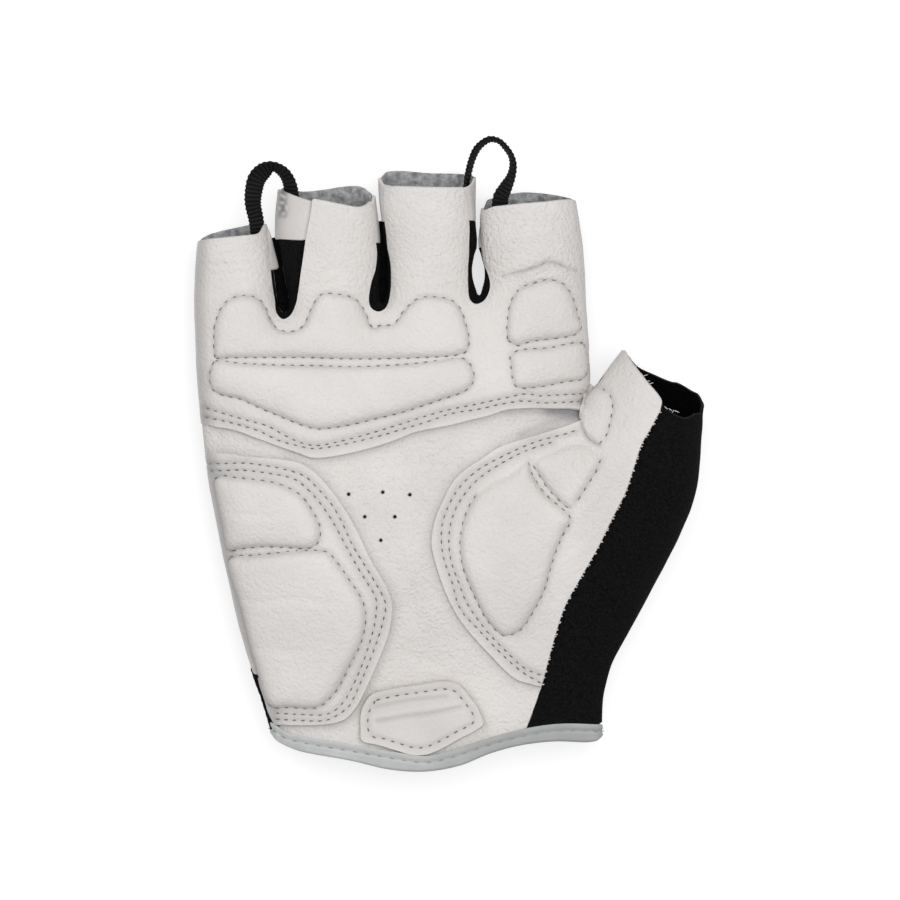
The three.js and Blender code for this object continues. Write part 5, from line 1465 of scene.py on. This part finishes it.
# Binding of the cuff: a pale tape folded over the raw edge of the wrist all the way round, from one side of
# the slit on the back to the other, and sewn through with one row.
tape_finish = finish("cuff_tape", tape_ribs, 1700, (0.735, 0.75, 0.742), (0.65, 0.663, 0.656),
                     (0.33, 0.34, 0.34), 0.75, 0.00012, specular=0.3)
bindingTopPx = [(271, 722), (285, 731), (300, 735), (350, 743.5), (400, 752), (425, 755), (450, 750),
                (490, 737), (525, 728), (545, 724.5), (565, 723), (603, 724.5)]
bindingEndPx = [(272, 735), (275, 739.5), (279, 742.5), (285, 745.5), (300, 751), (350, 760), (390, 769),
                (425, 771), (460, 765), (490, 753), (520, 745), (555, 741), (590, 742), (598, 740.5),
                (602, 737), (603.5, 732)]
slit_width = 3.2
slitPx = (455, 771)
binding_rise = 0.55
binding_palm_depth = 3.0
binding_back_depth = 1.4
binding_steps = 300
binding_seam = 1.7
fold_length = 0.55


def side_x(line, y):
    row = side_lines[line]
    order = np.argsort(row[:, 1])
    return np.interp(y, row[order, 1], row[order, 0])


def cuff_point(row, turn):
    """A place of the cuff's cross-section at a turn about its middle: the palm is at a quarter turn."""
    left, right = side_x("left", row[0, 1]), side_x("right", row[-1, 1])
    x = (left + right) / 2 + (right - left) / 2 * math.cos(turn)
    y = np.interp(x, row[:, 0], row[:, 1])
    p = np.array([[x, y]])
    depth = np.abs(read(fields, p)).min(0)
    return np.array([x, y, middle(p)[0] + math.copysign(half_thickness(p, depth)[0], math.sin(turn))])


def profile(top, end, out_top, out_end, rise, depth, count=14):
    """Section of the folded tape: outer face, rounded fold at the cuff, inner face."""
    down = end - top
    reach = np.linalg.norm(down)
    places = []
    for t in np.linspace(0, 1 - fold_length / reach, count):
        lift = (rise - 0.28 * math.exp(-((t * reach - binding_seam) / 0.42) ** 2)
                - 0.25 * math.exp(-t * reach / 0.2))
        places.append(top + down * t + (out_top * (1 - t) + out_end * t) * lift)
    half = (rise + depth) / 2
    for a in np.linspace(0, math.pi, 9)[1:-1]:
        centre = end - down / reach * fold_length + out_end * (rise - half)
        places.append(centre + down / reach * fold_length * math.sin(a) + out_end * half * math.cos(a))
    for t in np.linspace(1 - fold_length / reach, 0, 6):
        places.append(top + down * t - (out_top * (1 - t) + out_end * t) * depth)
    return np.array(places)


binding_rows = [course(px, 0.6) for px in (bindingTopPx, bindingEndPx)]
cuff_left, cuff_right = side_x("left", cuff_y), side_x("right", cuff_y)
cuff_middle, cuff_reach = (cuff_left + cuff_right) / 2, (cuff_right - cuff_left) / 2
slit_turns = [math.acos((place(slitPx)[0] + side * slit_width / 2 - cuff_middle) / cuff_reach)
              for side in (1, -1)]
sections, stitch_line = [], []
for turn in np.linspace(-slit_turns[0], 2 * math.pi - slit_turns[1], binding_steps):
    rows = []
    for row in binding_rows:
        run = cuff_point(row, turn + 0.02) - cuff_point(row, turn - 0.02)
        out = np.array([run[2], 0, -run[0]])
        rows.append((cuff_point(row, turn), out / np.linalg.norm(out)))
    (top, out_top), (end, out_end) = rows
    depth = binding_back_depth + (binding_palm_depth - binding_back_depth) * smooth(0, 1, math.sin(turn))
    ripple = 0.05 * math.sin(turn * 31) + 0.04 * math.sin(turn * 53 + 1)
    rise = binding_rise - 0.35 * abs(math.cos(turn)) ** 12
    sections.append(profile(top, end, out_top, out_end, rise, depth) + out_top * ripple)
    share = binding_seam / np.linalg.norm(end - top)
    stitch_line.append((top + (end - top) * share + out_top * (binding_rise - 0.22 + ripple), out_top))


def tube(name, sections, material, shade, sharp=50):
    """A closed body through sections with the same number of places each."""
    points = np.vstack(sections)
    faces = ring_faces(len(sections), len(sections[0]))
    made = mesh_object(name, points, faces, [material], sharp=sharp, marks={"shade": shade(points)})
    mesh = made.data
    mesh.calc_loop_triangles()
    corners = [[mesh.vertices[i].co for i in triangle.vertices] for triangle in mesh.loop_triangles]
    if sum(a.dot(b.cross(c)) for a, b, c in corners) < 0:
        mesh.flip_normals()
    return made


# The tape's colour darkens towards the glove's right end.
binding = tube("cuff_binding", sections, tape_finish,
               lambda p: 0.54 * smooth(*place([(320, 0), (560, 0)])[:, 0], p[:, 0]))
fitted(binding, nodes=["cuff_binding"])
seam_at, seam_out = (np.array(v) for v in zip(*stitch_line))
seam_far = np.r_[0, np.cumsum(np.linalg.norm(np.diff(seam_at, axis=0), axis=1))]
binding_pitch = 3.1
binding_stitch = 1.3


def along_seam(cut, values):
    return np.stack([np.interp(cut, seam_far, values[:, k]) for k in range(3)], 1)


pale_thread = finish("pale_grey_thread", tape_ribs, 6000, (0.46, 0.465, 0.465), (0.36, 0.365, 0.365),
                     (0.2, 0.2, 0.2), 0.6, 0.00003)
cut = np.arange(binding_pitch, seam_far[-1] - binding_pitch / 2, binding_pitch)
first, last = (along_seam(cut + half, seam_at) for half in (-binding_stitch / 2, binding_stitch / 2))
ahead = (last - first) / np.linalg.norm(last - first, axis=1)[:, None]
outs = along_seam(cut, seam_out)
stitches = capsules((first + last) / 2 + outs * 0.05, ahead, outs, binding_stitch, stitch_width)
fitted(mesh_object("binding_stitches", *stitches, [pale_thread], sharp=80))

# Closure of the wrist, on the back: a black cloth tab sewn down beside the slit, folded over it, with a hook
# patch under its end that grips a loop patch on the other side.
tab_px = {"root": 500, "fold": 486, "end": 322, "top": 668, "foot": 732}
hook_px = (336, 400)
loop_px = (330, 428)
patch_border = 2.5
patch_gap = 0.3
loop_thickness = 0.6
hook_thickness = 0.6
tab_thickness = 0.9
tab_inner = patch_gap + loop_thickness + patch_gap + hook_thickness + patch_gap
fold_rise = 5
hook_cloth = finish("hook_and_loop", cloth_nap, 2600, (0.02, 0.02, 0.021), (0.008, 0.008, 0.008),
                    (0.03, 0.03, 0.03), 0.9, 0.0005, sheen=0.2, specular=0.3)


def rounded(left_px, right_px, border, corner, step=0.7, round_right=True):
    """A rectangle on the back of the wrist with round corners, as places on the plan."""
    left, top = place((left_px, tab_px["top"]))
    right, foot = place((right_px, tab_px["foot"]))
    top, foot = top - border, foot + border
    quarter = math.pi / 2
    turn = np.linspace(0, quarter, 7)
    out = []
    for corner_x, corner_y, sx, sy, quarters in (
            (left, top, 1, -1, 1), (left, foot, 1, 1, 2), (right, foot, -1, 1, 3), (right, top, -1, -1, 0)):
        r = corner if corner_x == left or round_right else 0.05
        around = quarters * quarter + turn
        out.append(np.array([corner_x + sx * r, corner_y + sy * r])
                   + r * np.column_stack([np.cos(around), np.sin(around)]))
    loop = np.vstack(out)
    return even(np.vstack([loop, loop[:1]]), step, True)


def back_piece(name, outline, height, thickness, material, slot, nodes, body, guides=()):
    return layer(name, [(unroll(outline), 0.8, -1, guides, ())], height, thickness, [material], slot, nodes,
                 bulge=0.3, body=body)


loop_top = patch_gap + loop_thickness
hook_top = loop_top + patch_gap + hook_thickness
for name, span, top, thickness, body in (
        ("closure_loop_patch", loop_px, loop_top, loop_thickness, "glove"),
        ("closure_hook_patch", hook_px, hook_top, hook_thickness, "closure_flap")):
    back_piece(name, rounded(*span, patch_border, 4), lambda p, base: np.full(len(p), top), thickness,
               hook_cloth, "hook_and_loop", [name], body)
tab_outline = rounded(tab_px["end"], tab_px["root"], 0, 5.2, round_right=False)
tab_fold = place((tab_px["fold"], 0))[0]
tab_row = shrunk(tab_outline, 1.6)
tab_row = np.vstack([tab_row, tab_row[:1]])


def tab_height(p, base=None):
    inner = patch_gap + (tab_inner - patch_gap) * smooth(tab_fold, tab_fold - fold_rise, p[:, 0])
    return inner + tab_thickness - groove(p, [tab_row], 0.2, 0.5) + 0.06 * cloud(p, 8, 81)


tab = back_piece("closure_tab", tab_outline, tab_height, tab_thickness, black_cloth, "black_fabric",
                 ["closure_tab", "closure_tab_root"], None, guides_along([tab_row], (0, -0.4, 0.4)))
black_thread = finish("black_thread", tape_ribs, 6000, (0.035, 0.035, 0.037), (0.02, 0.02, 0.02),
                      (0.02, 0.02, 0.02), 0.55, 0.00003)
tab_pitch = 2.4
tab_stitches = sew("closure_tab_stitches", [tab_row], tab_pitch, tab_height, side=-1,
                   finish=black_thread, seed=18, body=None)
joints = {joint["child"]: joint for joint in frame["joints"]}
for piece in (tab, tab_stitches):
    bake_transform(piece)

# Pull loops: two lengths of black ribbed webbing, each sewn into two neighbouring stalls, to pull the glove
# off by. Each ends a few millimetres inside its stall.
# The webbing's shade-mark colour is painted shade between its ribs.
webbing_finish = finish("black_webbing", tape_ribs, 1300, (0.036, 0.035, 0.036), (0.015, 0.015, 0.0155),
                        (0.0012, 0.0012, 0.0012), 0.75, 0.0003, sheen=0.02, specular=0.08)
web_width = 4.8
web_thickness = 0.95
web_tail = 6.5
web_lift = 4.5
rib_pitch = 1.0
rib_places = 6
root_reach = (-0.0008, 0.0022)
loopsPx = {
    "left_pull_loop": ([(257.5, 237), (256.5, 222), (253, 203), (254, 190), (257, 179), (264, 171),
                        (273, 166.8), (283, 172), (289, 181.5), (291.5, 195)],
                       [0.18, 0.26, 0.4, 0.48, 0.53, 0.53, 0.53, 0.49, 0.4, 0.22],
                       [43, 38, 30, 18, 8, 26, 60, 54, 46, 36]),
    "right_pull_loop": ([(466.5, 184), (468.2, 174), (471.8, 160), (477, 148.8), (483.5, 142.4),
                         (490.5, 139.3), (498.8, 141.2), (505, 147), (511, 155.8), (513, 165), (511, 176.5),
                         (505.5, 188), (501, 197), (500, 207)],
                        [0.15, 0.12, 0.16, 0.26, 0.36, 0.46, 0.54, 0.6, 0.62, 0.62, 0.62, 0.57, 0.5, 0.44],
                        [76, 73, 72, 71, 74, 76, 79, 77, 76, 71, 63, 45, 33, 26]),
}
loop_bodies = {
    "left_pull_loop": ("left_loop", ["left_pull_loop", "little_loop_tail", "ring_loop_tail"]),
    "right_pull_loop": ("right_loop", ["right_pull_loop", "middle_loop_tail", "index_loop_tail"]),
}


def web_section(count=20):
    """Outline of the webbing's cut end: flat, with full round edges."""
    turn = 2 * math.pi * np.arange(count) / count
    u = np.sign(np.cos(turn)) * np.abs(np.cos(turn)) ** 0.45
    v = np.sign(np.sin(turn)) * np.abs(np.sin(turn)) ** 0.8
    return np.column_stack([u * web_width / 2, v * web_thickness / 2])


for name, (px, lifts, twists) in loopsPx.items():
    tail_step = web_tail / mm_per_px
    (ax, ay), (bx, by) = px[0], px[-1]
    px = [(ax, ay + tail_step), (ax, ay + tail_step / 2), *px, (bx, by + tail_step / 2), (bx, by + tail_step)]
    lifts = [lifts[0] - 0.1, lifts[0], *lifts, lifts[-1], lifts[-1] - 0.1]
    twists = [twists[0], twists[0], *twists, twists[-1], twists[-1]]
    plan = place(px)
    heights = middle(plan) + np.array(lifts) * web_lift
    run = spline(np.column_stack([plan, heights, twists]), per=16)
    length = np.r_[0, np.cumsum(np.linalg.norm(np.diff(run[:, :3], axis=0), axis=1))]
    spots = np.linspace(0, length[-1], int(length[-1] / rib_pitch * rib_places))
    run = np.stack([np.interp(spots, length, run[:, k]) for k in range(4)], 1)
    ahead = np.gradient(run[:, :3], axis=0)
    ahead /= np.linalg.norm(ahead, axis=1)[:, None]
    sections, valley_shade = [], []
    for i, (centre, along) in enumerate(zip(run, ahead)):
        sideways = np.cross([0, 0, 1], along)
        sideways /= np.linalg.norm(sideways)
        turn = math.radians(centre[3])
        across = sideways * math.cos(turn) + np.cross(along, sideways) * math.sin(turn)
        out = np.cross(along, across)
        rib = 0.5 + 0.5 * math.cos(2 * math.pi * i / rib_places)
        end_round = min(1, 0.55 + 0.2 * min(i, len(run) - 1 - i))
        shape = web_section() * (1 - 0.09 * (1 - rib), (1 - 0.42 * (1 - rib)) * end_round)
        sections.append(centre[:3] + shape[:, :1] * across + shape[:, 1:] * out)
        # Painted shade in the valleys between the ribs.
        valley_shade += [1 - rib] * len(shape)
    body, nodes = loop_bodies[name]
    web = fitted(tube(name, sections, webbing_finish, lambda p: valley_shade, 60), None, nodes)
    outward = np.cross((0, 0, 1), joints[body]["axis"])
    outward = outward / np.linalg.norm(outward)
    start, end = (tuple(joints[body]["pos_m"] + outward * reach) for reach in root_reach)
    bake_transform(web)
